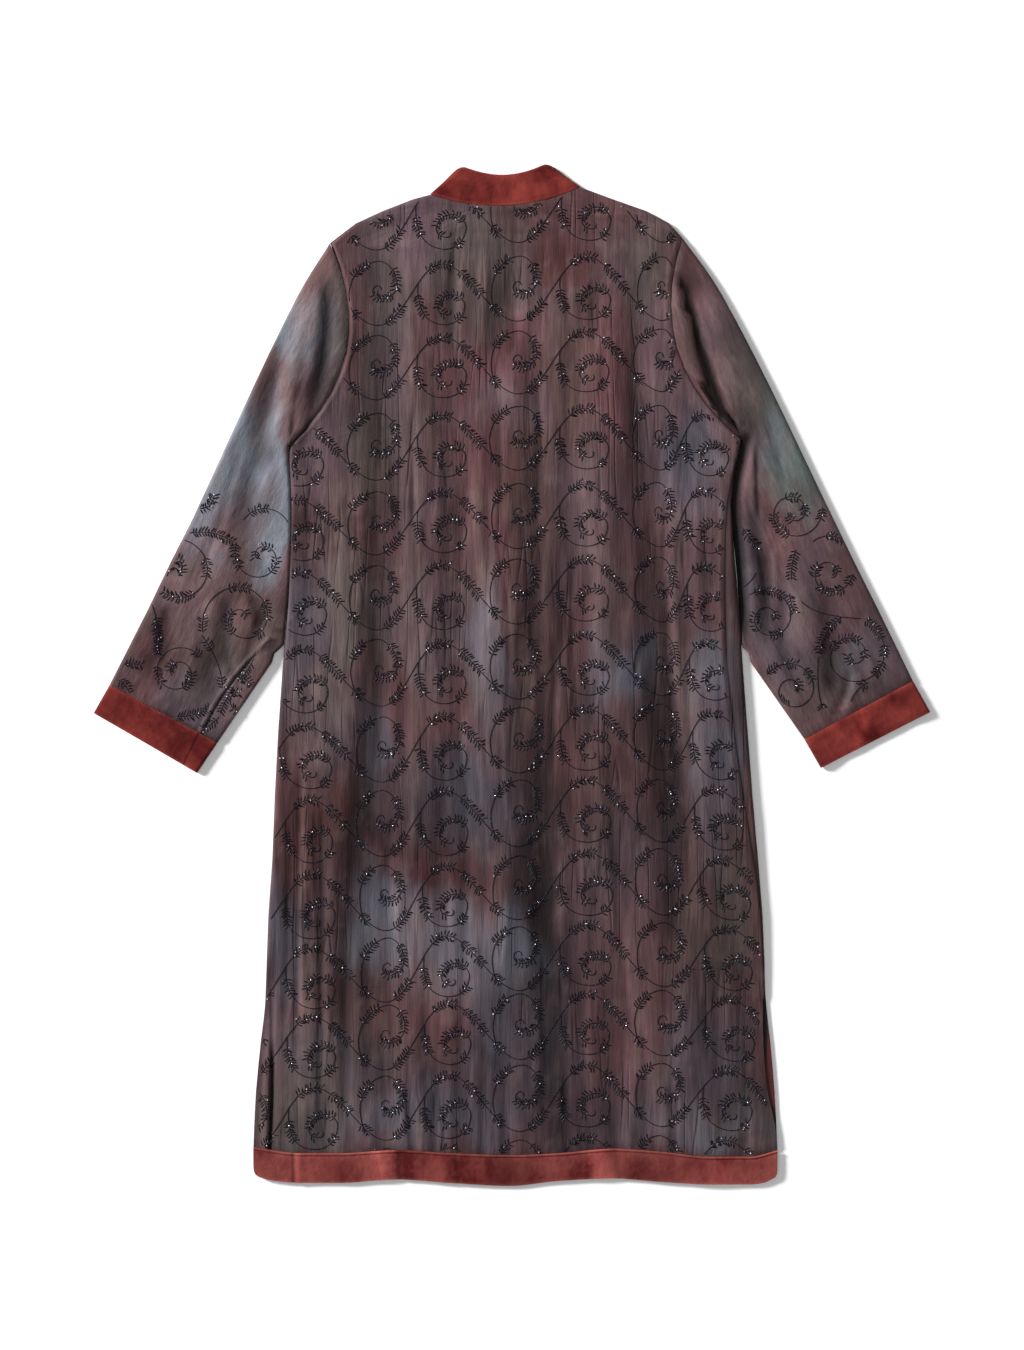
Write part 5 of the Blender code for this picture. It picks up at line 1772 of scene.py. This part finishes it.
# %% Height maps
class HeightMap:
    """Height of a panel's top on an even grid, in axes turned by an angle.

    STEP is the grid's step. Rows further apart than GAP have no cloth between them.
    """

    STEP = 1.5
    GAP = 14.0

    def __init__(self, grid, degrees):
        angle = np.radians(degrees)
        self.turn = np.array([[np.cos(angle), np.sin(angle)], [-np.sin(angle), np.cos(angle)]])
        flat = grid[..., :2] @ self.turn.T
        self.x0, self.x1 = flat[..., 0].min(), flat[..., 0].max()
        self.y0, self.y1 = flat[..., 1].min(), flat[..., 1].max()
        xs = np.arange(self.x0, self.x1, self.STEP)
        ys = np.arange(self.y0, self.y1, self.STEP)
        order = int(np.sign(flat[0, -1, 0] - flat[0, 0, 0]))

        def across(layer):
            rows = zip(flat, layer)
            return np.stack([np.interp(xs, r[::order, 0], v[::order], np.nan, np.nan) for r, v in rows])

        places, levels = across(flat[..., 1]), across(grid[..., 2])
        self.heights = np.full((len(ys), len(xs)), np.nan)
        for k in range(len(xs)):
            known = ~np.isnan(places[:, k])
            if known.sum() > 1:
                down = np.argsort(places[known, k])
                place, level = places[known, k][down], levels[known, k][down]
                after = np.clip(np.searchsorted(place, ys), 1, len(place) - 1)
                on_cloth = place[after] - place[after - 1] < self.GAP
                between = np.interp(ys, place, level, np.nan, np.nan)
                self.heights[:, k] = np.where(on_cloth, between, np.nan)

    def at(self, points):
        """Heights at points, nan off the panel."""
        flat = points @ self.turn.T
        u = (flat[:, 0] - self.x0) / self.STEP
        v = (flat[:, 1] - self.y0) / self.STEP
        inside = (u > 0) & (v > 0) & (u < self.heights.shape[1] - 1) & (v < self.heights.shape[0] - 1)
        u, v = np.where(inside, u, 0.0), np.where(inside, v, 0.0)
        i, j = u.astype(int), v.astype(int)
        s, t = u - i, v - j
        h = self.heights
        low = h[j, i] * (1 - s) + h[j, i + 1] * s
        high = h[j + 1, i] * (1 - s) + h[j + 1, i + 1] * s
        return np.where(inside, low * (1 - t) + high * t, np.nan)


MAP_EDGE = 1
back_map = HeightMap(back_outer[:, MAP_EDGE:-MAP_EDGE], 0.0)
sleeve_maps = {
    "left": HeightMap(sleeve_tops["left"], -SLEEVE_LEAN),
    "right": HeightMap(sleeve_tops["right"], SLEEVE_LEAN),
}
print("back map from", np.nanmin(back_map.heights), "to", np.nanmax(back_map.heights))

# %% [markdown]
# ## The vine
#
# The embroidery is a traditional running scroll. A stem waves across the back, and from the left of
# each crest a tendril curls down and round, and from the left of each trough one curls up and
# round. Groups of short slanting stitches sit on both sides of the stem like leaves, with bare stem
# between the groups. The pattern is worked out from its repeat: the distance between crests, the
# distance between rows, and the sizes of a wave and a curl.

# %% Sizes of the vine
REPEAT = 157.4
CREST_X = 80.3
WAVE_RISE = 33.0
WAVE_LEAN = 6.0
STITCH_STEP = 2.0
REPEATS_ACROSS = range(-3, 3)
VINE_ROWS = (544.5, 460.9, 379.5, 292.6, 207.9, 126.5, 44.0, -37.4, -116.6, -195.8, -273.9, -349.8,
             -427.9, -507.1)
# Where leaves grow along the stem, by phase from a crest
WAVE_LEAVES = ((0.0, 0.07), (0.115, 0.205), (0.215, 0.26), (0.315, 0.375), (0.555, 0.69), (0.885, 1.0))
Curl = namedtuple("Curl", "centre_x centre_y start sign turned radius leaves")
CREST_CURL = Curl(
    6.7, -51.0, 136.0, 1,
    (0, 20, 41, 58, 79, 109, 143, 180, 219, 250, 283, 312, 335, 365, 404, 430, 460, 540, 640),
    (46.5, 37, 30.5, 26.5, 22, 18, 16.5, 17, 19, 21.5, 21, 18.8, 17.3, 14.5, 10.5, 7, 5.2, 4.4, 3),
    ((14, 52), (165, 202), (258, 300), (304, 382), (404, 450)),
)
TROUGH_CURL = Curl(
    0.0, 39.0, 239.0, -1,
    (0, 21, 45, 72, 100, 125, 150, 177, 204, 225, 244, 265, 298, 343, 395, 440, 520, 620),
    (39, 35.4, 31.8, 30.4, 30.6, 31.6, 32.2, 28.8, 24, 21.5, 18.6, 15, 10.8, 8, 6.4, 5.6, 4.6, 3),
    ((84, 128), (178, 240), (247, 372)),
)

vine_random = np.random.default_rng(7)


def inside_any(values, spans):
    """Whether each value lies in one of the spans."""
    return np.any([(values > low) & (values < high) for low, high in spans], axis=0)


def even_steps(points, step, *others):
    """The same line with points a step apart, and other values carried along it."""
    length = np.concatenate([[0.0], np.cumsum(np.linalg.norm(np.diff(points, axis=0), axis=1))])
    at = np.arange(0.0, length[-1], step)
    line = np.stack([np.interp(at, length, points[:, k]) for k in (0, 1)], axis=1)
    return [line] + [np.interp(at, length, other) for other in others]


def wave_stem(crest):
    """One repeat of the stem, from crest to crest.

    x runs on evenly plus a lean of (1 - cos) / 2, and y falls by a rise of (1 - cos).
    """
    phase = np.linspace(0.0, 1.0, 90)
    swing = 1 - np.cos(2 * np.pi * phase)
    x = crest[0] + REPEAT * phase + WAVE_LEAN * swing / 2
    y = crest[1] - WAVE_RISE * swing
    line, at = even_steps(np.stack([x, y], axis=1), STITCH_STEP, phase)
    return line, inside_any(at, WAVE_LEAVES)


def wind(centre, start, sign, turned, radius):
    """Points round a centre, at a radius for each angle turned from the start."""
    angle = np.radians(start + sign * turned)
    return centre + np.stack([np.cos(angle), np.sin(angle)], axis=1) * radius[:, None]


def curl_line(curl, at, size, lean):
    """A curl of the repeat: its radius follows the smooth curve through its table."""
    turned = np.linspace(0.0, curl.turned[-1], 140)
    radius = through(turned, curl.turned, curl.radius) * (1 + (size - 1) * ease(turned / 60.0))
    centre = at + (curl.centre_x, curl.centre_y)
    points = wind(centre, curl.start + lean * ease(turned / 90.0), curl.sign, turned, radius)
    line, turned = even_steps(points, STITCH_STEP, turned)
    return line, inside_any(turned, curl.leaves)


BUNCHED = 26.0
LEFT_DRIFT = 15.0
LEFT_DROP = (0.045, 0.04)
RIGHT_DROP = 0.05


def sewn_shift(points):
    """The pattern drifts and drops towards the left, as cloth does when it is sewn and washed.

    Beside the upper right seam the cloth lies bunched, so the pattern is narrower there.
    """
    x, y = points[:, 0], points[:, 1]
    bunched = BUNCHED * ease((x - 150) / 94) * ease((y + 350) / 450)
    low = ease((200 - y) / 550)
    shift_x = 3.0 * cloudy(x, y, 90, 120, 91) + LEFT_DRIFT * low * ease((60 - x) / 320) - bunched
    drop = (LEFT_DROP[0] + LEFT_DROP[1] * low) * np.maximum(80 - x, 0.0)
    drop = drop + RIGHT_DROP * np.maximum(x - 100, 0.0)
    shift_y = 3.0 * cloudy(x, y, 110, 90, 92) - drop
    return points + np.stack([shift_x, shift_y], axis=1)


def back_vine():
    """Every line of the vine on the back, with where its leaves grow."""
    lines = []
    for crest_y in VINE_ROWS:
        for place in REPEATS_ACROSS:
            crest = np.array([CREST_X + place * REPEAT, crest_y])
            trough = crest + (REPEAT / 2 + WAVE_LEAN, -2 * WAVE_RISE)
            size = vine_random.uniform(0.93, 1.05, 2)
            lean = vine_random.uniform(-7, 7, 2)
            lines.append(wave_stem(crest))
            lines.append(curl_line(CREST_CURL, crest, size[0], lean[0]))
            lines.append(curl_line(TROUGH_CURL, trough, size[1], lean[1]))
    return [(sewn_shift(line), leafy) for line, leafy in lines]


# %% [markdown]
# ## Stitches
#
# A stem is a thread with a round back, laid along the line: three points of its cross-section are
# carried along the path. A leaf is one flat stitch, an eight-sided lozenge with a ridge, leaning
# forward from the stem. All stitches of a panel are one mesh, made from arrays.

# %% Stitches
THREAD = 1.0
LEAF_LENGTH = 7.5
LEAF_WIDTH = 2.1
LEAF_RISE = 0.8
LEAF_STEP = 3.2
LEAF_ANGLE = 62.0
LEAF_ANGLE_SPREAD = 6
LEAF_SCATTER = 0.25
LEAF_SIZES = (0.75, 1.18)
THREAD_HEIGHT = 0.8
THREAD_SINK = 0.1


def runs(mask):
    """(start, stop) of each run of True, two or more long."""
    padded = np.concatenate([[False], mask, [False]])
    change = np.flatnonzero(padded[1:] != padded[:-1])
    return [(a, b) for a, b in zip(change[::2], change[1::2]) if b - a > 2]


def stem_strands(lines, height):
    """Points and faces of the thread along each line, where it lies on the panel.

    The cross-section has a point on each side and one on top, and the ends close to a point.
    """
    points, faces, count = [], [], 0
    for line, _ in lines:
        z = height.at(line)
        for start, stop in runs(~np.isnan(z)):
            path, level = line[start:stop], z[start:stop]
            ahead = np.gradient(path, axis=0)
            ahead /= np.linalg.norm(ahead, axis=1)[:, None]
            across = np.stack([-ahead[:, 1], ahead[:, 0]], axis=1)
            width = np.full(len(path), THREAD / 2)
            width[[0, -1]] = 0.02
            low, high = (level + THREAD_SINK)[:, None], (level + THREAD * THREAD_HEIGHT)[:, None]
            aside = across * width[:, None]
            places = ((path + aside, low), (path, high), (path - aside, low))
            ring = [np.concatenate(place, axis=1) for place in places]
            points.append(np.stack(ring, axis=1).reshape(-1, 3))
            index = np.arange(len(path) * 3).reshape(-1, 3) + count
            index = np.concatenate([index, index[:, :1]], axis=1)
            quads = np.stack([index[:-1, :-1], index[:-1, 1:], index[1:, 1:], index[1:, :-1]], axis=-1)
            faces.append(quads.reshape(-1, 4))
            count += index[:, :3].size
    return np.concatenate(points), np.concatenate(faces)


LEAF_SHAPE = np.array([
    (0.0, 0.0, -0.2),
    (0.35, 0.5, -0.2),
    (0.75, 0.42, -0.2),
    (1.0, 0.0, -0.2),
    (0.75, -0.42, -0.2),
    (0.35, -0.5, -0.2),
    (0.3, 0.0, 1.0),
    (0.72, 0.0, 0.9),
])
LEAF_FACES = np.array([
    (0, 6, 1), (1, 6, 7), (1, 7, 2), (2, 7, 3), (3, 7, 4), (4, 7, 6), (4, 6, 5), (5, 6, 0),
    (0, 1, 2), (0, 2, 3), (0, 3, 4), (0, 4, 5),
])


def leaf_places(lines, height, random):
    """(base, direction, size) of every leaf that lies wholly on the panel."""
    bases, directions, sizes = [], [], []
    for line, leafy in lines:
        for start, stop in runs(leafy):
            path, = even_steps(line[start:stop], LEAF_STEP)
            if len(path) < 2:
                continue
            ahead = np.gradient(path, axis=0)
            angle = np.arctan2(ahead[:, 1], ahead[:, 0])
            for side in (1, -1):
                lean = np.radians(LEAF_ANGLE + random.normal(0, LEAF_ANGLE_SPREAD, len(path)))
                turn = angle + side * lean
                bases.append(path + random.normal(0, LEAF_SCATTER, path.shape))
                directions.append(np.stack([np.cos(turn), np.sin(turn)], axis=1))
                sizes.append(random.uniform(*LEAF_SIZES, len(path)))
    base, direction, size = np.concatenate(bases), np.concatenate(directions), np.concatenate(sizes)
    tip = base + direction * LEAF_LENGTH * size[:, None]
    keep = ~np.isnan(height.at(tip) + height.at(base))
    return base[keep], direction[keep], size[keep]


def leaf_stitches(lines, height, random):
    """Every leaf's lozenge, turned, sized and laid on the cloth."""
    base, direction, size = leaf_places(lines, height, random)
    across = np.stack([-direction[:, 1], direction[:, 0]], axis=1)
    long, wide, rise = LEAF_SHAPE.T
    flat = (
        base[:, None]
        + direction[:, None] * (long * LEAF_LENGTH)[None, :, None] * size[:, None, None]
        + across[:, None] * (wide * LEAF_WIDTH)[None, :, None]
    )
    level = height.at(flat.reshape(-1, 2)).reshape(flat.shape[:2])
    level = np.where(np.isnan(level), np.nanmax(level, axis=1)[:, None], level)
    z = level + rise * LEAF_RISE
    points = np.concatenate([flat, z[..., None]], axis=-1).reshape(-1, 3)
    faces = (LEAF_FACES[None] + len(LEAF_SHAPE) * np.arange(len(base))[:, None, None]).reshape(-1, 3)
    return points, faces


def bead_shape():
    """An octahedron with each face split in four, on the unit sphere."""
    corners = np.array([(1, 0, 0), (-1, 0, 0), (0, 1, 0), (0, -1, 0), (0, 0, 1), (0, 0, -1)], float)
    triangles = [(0, 2, 4), (2, 1, 4), (1, 3, 4), (3, 0, 4), (2, 0, 5), (1, 2, 5), (3, 1, 5), (0, 3, 5)]
    points, faces = list(map(tuple, corners)), []

    def middle(a, b):
        m = np.array(points[a]) + np.array(points[b])
        m = tuple(np.round(m / np.linalg.norm(m), 6))
        if m not in points:
            points.append(m)
        return points.index(m)

    for a, b, c in triangles:
        ab, bc, ca = middle(a, b), middle(b, c), middle(c, a)
        faces += [(a, ab, ca), (ab, b, bc), (ca, bc, c), (ab, bc, ca)]
    return np.array(points), np.array(faces)


BEAD_POINTS, BEAD_FACES = bead_shape()
BEAD_RADIUS = 0.78
BEAD_SHARE = 0.19
BEAD_SCATTER = 1.8
GLINT_RARITY = 1.6


def beads(lines, height, random):
    """Small beads beside the leafy parts of the stems."""
    places = []
    for line, leafy in lines:
        chosen = leafy & (random.random(len(line)) < BEAD_SHARE)
        places.append(line[chosen] + random.normal(0, BEAD_SCATTER, (chosen.sum(), 2)))
    place = np.concatenate(places)
    level = height.at(place)
    place, level = place[~np.isnan(level)], level[~np.isnan(level)]
    size = BEAD_RADIUS * random.uniform(0.7, 1.15, len(place))
    centre = np.concatenate([place, (level + size * 0.7 + 0.3)[:, None]], axis=1)
    points = (centre[:, None] + BEAD_POINTS[None] * size[:, None, None]).reshape(-1, 3)
    faces = (BEAD_FACES[None] + len(BEAD_POINTS) * np.arange(len(place))[:, None, None]).reshape(-1, 3)
    return points, faces


def painted_glint(bead_mesh, random):
    """One number for each bead, mostly low and seldom high, kept at its points: how near white the
    bead is painted, as a highlight.
    """
    count = len(bead_mesh.vertices) // len(BEAD_POINTS)
    value = np.repeat(random.random(count) ** GLINT_RARITY, len(BEAD_POINTS))
    layer = bead_mesh.attributes.new("painted_glint", "FLOAT", "POINT")
    layer.data.foreach_set("value", value.astype(np.float32))


# %% [markdown]
# The thread is navy with paler flecks painted in as sheen, and the beads are dark glass, a few of
# them painted near white as highlights.

# %% Thread and beads
def thread(name):
    """Twisted thread with paler flecks, painted in as its sheen."""
    shade = Shade(name)
    twist = shade.noise(420.0, 2.0)
    dark = (*linear(10, 7, 14), 1.0)
    # The paler colour is painted sheen.
    light = (*linear(74, 62, 86), 1.0)
    varying = {
        "Base Color": shade.mix(twist * 6.0 - 3.5, dark, light),
        "Roughness": 0.45 + twist * 0.2,
        "Normal": shade.bump(twist, 0.0003),
    }
    return shade.finish(varying, {"Specular IOR Level": 0.18})


def glass_beads(name):
    """Glass whose colour goes near white where a bead's number is high: painted highlights."""
    shade = Shade(name)
    painted_glint_share = shade.attribute("painted_glint", "Fac")
    dark = (*linear(70, 58, 84), 1.0)
    # Near white: a painted highlight on the beads whose number is high.
    light = (*linear(252, 250, 255), 1.0)
    varying = {
        "Base Color": shade.mix(painted_glint_share, dark, light),
        "Roughness": 0.30 - painted_glint_share * 0.15,
    }
    return shade.finish(varying, {"Metallic": 0.35, "Specular IOR Level": 0.6})


THREAD_FINISH = thread("navy_thread")
BEAD_FINISH = glass_beads("dark_glass_beads")


def embroider(panel, lines, height, seed):
    """Stems, leaves and beads of one panel, each a single mesh."""
    random = np.random.default_rng(seed)
    made = []
    parts = (
        ("vine_stems_", stem_strands(lines, height), THREAD_FINISH, "navy_thread"),
        ("vine_leaves_", leaf_stitches(lines, height, random), THREAD_FINISH, "navy_thread"),
        ("beads_", beads(lines, height, random), BEAD_FINISH, "dark_beads"),
    )
    for prefix, (points, faces), material, slot in parts:
        smooth = prefix != "vine_leaves_"
        obj = new_mesh(prefix + panel, points, outward(points, faces), material, smooth)
        if slot == "dark_beads":
            painted_glint(obj.data, random)
        made.append(obj)
        print(obj.name, len(faces), "faces")
    return made


back_embroidery = embroider("back", back_vine(), back_map, 101)

# %% [markdown]
# ## Vine on the sleeves
#
# Below the elbow each sleeve has a larger scroll of the same kind. Its curls lie in different
# directions, and each has a tail that swings away from it to the next one.

# %% Sleeve vines
Scroll = namedtuple("Scroll", "x y start sweep outer inner leaves")
Stem = namedtuple("Stem", "points leaves")
SLEEVE_SCROLLS = {
    "left": (
        Scroll(-297, 62, 200, -540, 46, 5,
               ((0, 25), (85, 128), (158, 202), (228, 250), (322, 425), (480, 540))),
        Scroll(-276, 130, 150, 430, 32, 4, ((0, 55), (150, 212), (238, 300), (335, 400))),
        Scroll(-272, 154, 145, -160, 29, 29, ((18, 62),)),
        Scroll(-367, 115, 80, -210, 34, 29, ((52, 92), (135, 205))),
        Scroll(-374, 120, 300, 420, 13, 3, ((0, 120), (200, 300))),
        Scroll(-343, 198, 250, 110, 15, 15, ((0, 110),)),
        Scroll(-368, 3, 32, 560, 31, 6, ((0, 22), (128, 190), (250, 330), (430, 510))),
        Scroll(-300, -26, 100, -380, 24, 6, ((0, 60), (150, 230), (300, 380))),
    ),
    "right": (
        Scroll(309, 179, 10, -560, 33, 5, ((0, 26), (110, 190), (250, 300), (330, 385), (450, 520))),
        Scroll(348, 126, 130, -120, 27, 27, ((30, 112),)),
        Scroll(374, 22, 72, -600, 42, 5,
               ((0, 42), (54, 76), (84, 118), (262, 372), (405, 450), (520, 600))),
        Scroll(349, 112, 0, -440, 26, 5, ((0, 32), (45, 135), (160, 232), (300, 360))),
        Scroll(308, -16, 150, -560, 33, 5, ((0, 36), (45, 68), (90, 132), (250, 300), (430, 500))),
        Scroll(282, 63, 130, -540, 33, 5, ((8, 80), (170, 215), (250, 330), (430, 500))),
    ),
}
SLEEVE_STEMS = {
    "left": (
        Stem(((-319, -16), (-317, 8), (-342, 45)), ((0.0, 0.25), (0.75, 0.9))),
        Stem(((-355, 156), (-327, 161), (-305, 145)), ((0.05, 1.0),)),
        Stem(((-398, 82), (-387, 60), (-390, 22)), ((0.35, 1.0),)),
        Stem(((-427, 12), (-418, 14), (-407, 10)), ((0.0, 1.0),)),
        Stem(((-370, -45), (-352, -47), (-332, -36)), ((0.0, 1.0),)),
        Stem(((-433, -5), (-425, -10), (-420, -21)), ((0.0, 1.0),)),
        Stem(((-306, -12), (-316, -28), (-322, -44)), ((0.0, 1.0),)),
        Stem(((-322, -46), (-330, -54), (-340, -60)), ((0.1, 1.0),)),
        Stem(((-284, 18), (-290, 6), (-300, -6)), ((0.2, 1.0),)),
    ),
    "right": (
        Stem(((312, 138), (306, 121), (307, 104)), ((0.0, 1.0),)),
        Stem(((305, 90), (306, 78), (311, 67)), ((0.0, 1.0),)),
        Stem(((317, 82), (333, 64), (385, 62)), ()),
        Stem(((363, 64), (341, 50), (337, 22)), ((0.0, 1.0),)),
        Stem(((337, 22), (334, -17), (342, -38)), ((0.85, 1.0),)),
        Stem(((254, 162), (262, 148), (271, 142)), ((0.0, 1.0),)),
        Stem(((268, 113), (264, 102), (253, 96)), ()),
        Stem(((392, -8), (378, -14), (372, -30)), ((0.0, 0.4),)),
    ),
}


def scroll_line(scroll):
    """A winding line whose radius goes evenly from the outer to the inner one as it turns."""
    turned = np.linspace(0.0, abs(scroll.sweep), 150)
    radius = scroll.outer + (scroll.inner - scroll.outer) * (turned / abs(scroll.sweep)) ** 0.8
    points = wind(np.array([scroll.x, scroll.y]), scroll.start, np.sign(scroll.sweep), turned, radius)
    line, turned = even_steps(points, STITCH_STEP, turned)
    return line, inside_any(turned, scroll.leaves)


def stem_line(stem):
    """A bent line: (1-t)^2 times the first point, 2t(1-t) times the second, t^2 times the third."""
    t = np.linspace(0.0, 1.0, 60)
    first, second, third = (np.array(p, float) for p in stem.points)
    points = np.outer((1 - t) ** 2, first) + np.outer(2 * t * (1 - t), second) + np.outer(t * t, third)
    line, t = even_steps(points, STITCH_STEP, t)
    return line, inside_any(t, stem.leaves) if stem.leaves else np.zeros(len(t), bool)


for side, seed in (("left", 103), ("right", 105)):
    lines = [scroll_line(scroll) for scroll in SLEEVE_SCROLLS[side]]
    lines += [stem_line(stem) for stem in SLEEVE_STEMS[side]]
    embroider("sleeve_" + side, lines, sleeve_maps[side], seed)

# %% [markdown]
# ## Cloth facts
#
# The back's area is worked out from its grid, in square metres, and printed.

# %% Cloth facts
def wall_area(outer):
    """Area of a grid in square metres, from the cross products of its cells' diagonals."""
    one = outer[1:, 1:] - outer[:-1, :-1]
    other = outer[1:, :-1] - outer[:-1, 1:]
    return float(np.linalg.norm(np.cross(one, other), axis=-1).sum() / 2) * MM * MM


print("back area:", round(wall_area(back_outer), 4))

# %% [markdown]
# ## Floor, light and camera
#
# The coat lies on a plain pale floor under soft studio light: a large light overhead and one to the
# upper left, low enough to draw the folds. The camera looks straight down.

# %% Floor, light and camera
FLOOR_SIZE = 6.0
FLOOR_LEVEL = -0.2
WORLD_STRENGTH = 0.27
PICTURE_HEIGHT = 1.485
CAMERA_HEIGHT = 3.6
SENSOR_HEIGHT = 36.0
COAT_HEIGHT = 0.006


def area_light(name, place, size, power):
    """A square light that looks at the middle of the coat."""
    data = bpy.data.lights.new(name, "AREA")
    data.shape = "SQUARE"
    data.size = size
    data.energy = power
    lamp = bpy.data.objects.new(name, data)
    bpy.context.scene.collection.objects.link(lamp)
    lamp.location = place
    lamp.rotation_euler = (-Vector(place)).to_track_quat("-Z", "Y").to_euler()


corner = FLOOR_SIZE / 2
level = FLOOR_LEVEL * MM
floor_mesh = bpy.data.meshes.new("floor")
floor_corners = [(-corner, -corner), (corner, -corner), (corner, corner), (-corner, corner)]
floor_mesh.from_pydata([(*place, level) for place in floor_corners], [], [(0, 1, 2, 3)])
floor_look = {"Base Color": (0.90, 0.90, 0.90, 1.0), "Roughness": 0.9}
floor_mesh.materials.append(Shade("pale_floor").finish({}, floor_look))
floor = bpy.data.objects.new("floor", floor_mesh)
bpy.context.scene.collection.objects.link(floor)

area_light("overhead", (0.5, -0.3, 4.2), 3.0, 46.0)
area_light("upper_left", (-5.2, 2.6, 3.0), 1.5, 860.0)
world = bpy.data.worlds.new("studio")
bpy.context.scene.world = world
world.use_nodes = True
sky = world.node_tree.nodes["Background"].inputs
sky["Color"].default_value = (1.0, 1.0, 1.0, 1.0)
sky["Strength"].default_value = WORLD_STRENGTH
bpy.context.scene.view_settings.view_transform = "Standard"

camera_data = bpy.data.cameras.new("camera")
camera_data.sensor_fit = "VERTICAL"
camera_data.sensor_height = SENSOR_HEIGHT
camera_data.lens = SENSOR_HEIGHT * (CAMERA_HEIGHT - COAT_HEIGHT) / PICTURE_HEIGHT
camera = bpy.data.objects.new("camera", camera_data)
camera.location = (0.0, 0.0, CAMERA_HEIGHT)
bpy.context.scene.collection.objects.link(camera)
bpy.context.scene.camera = camera
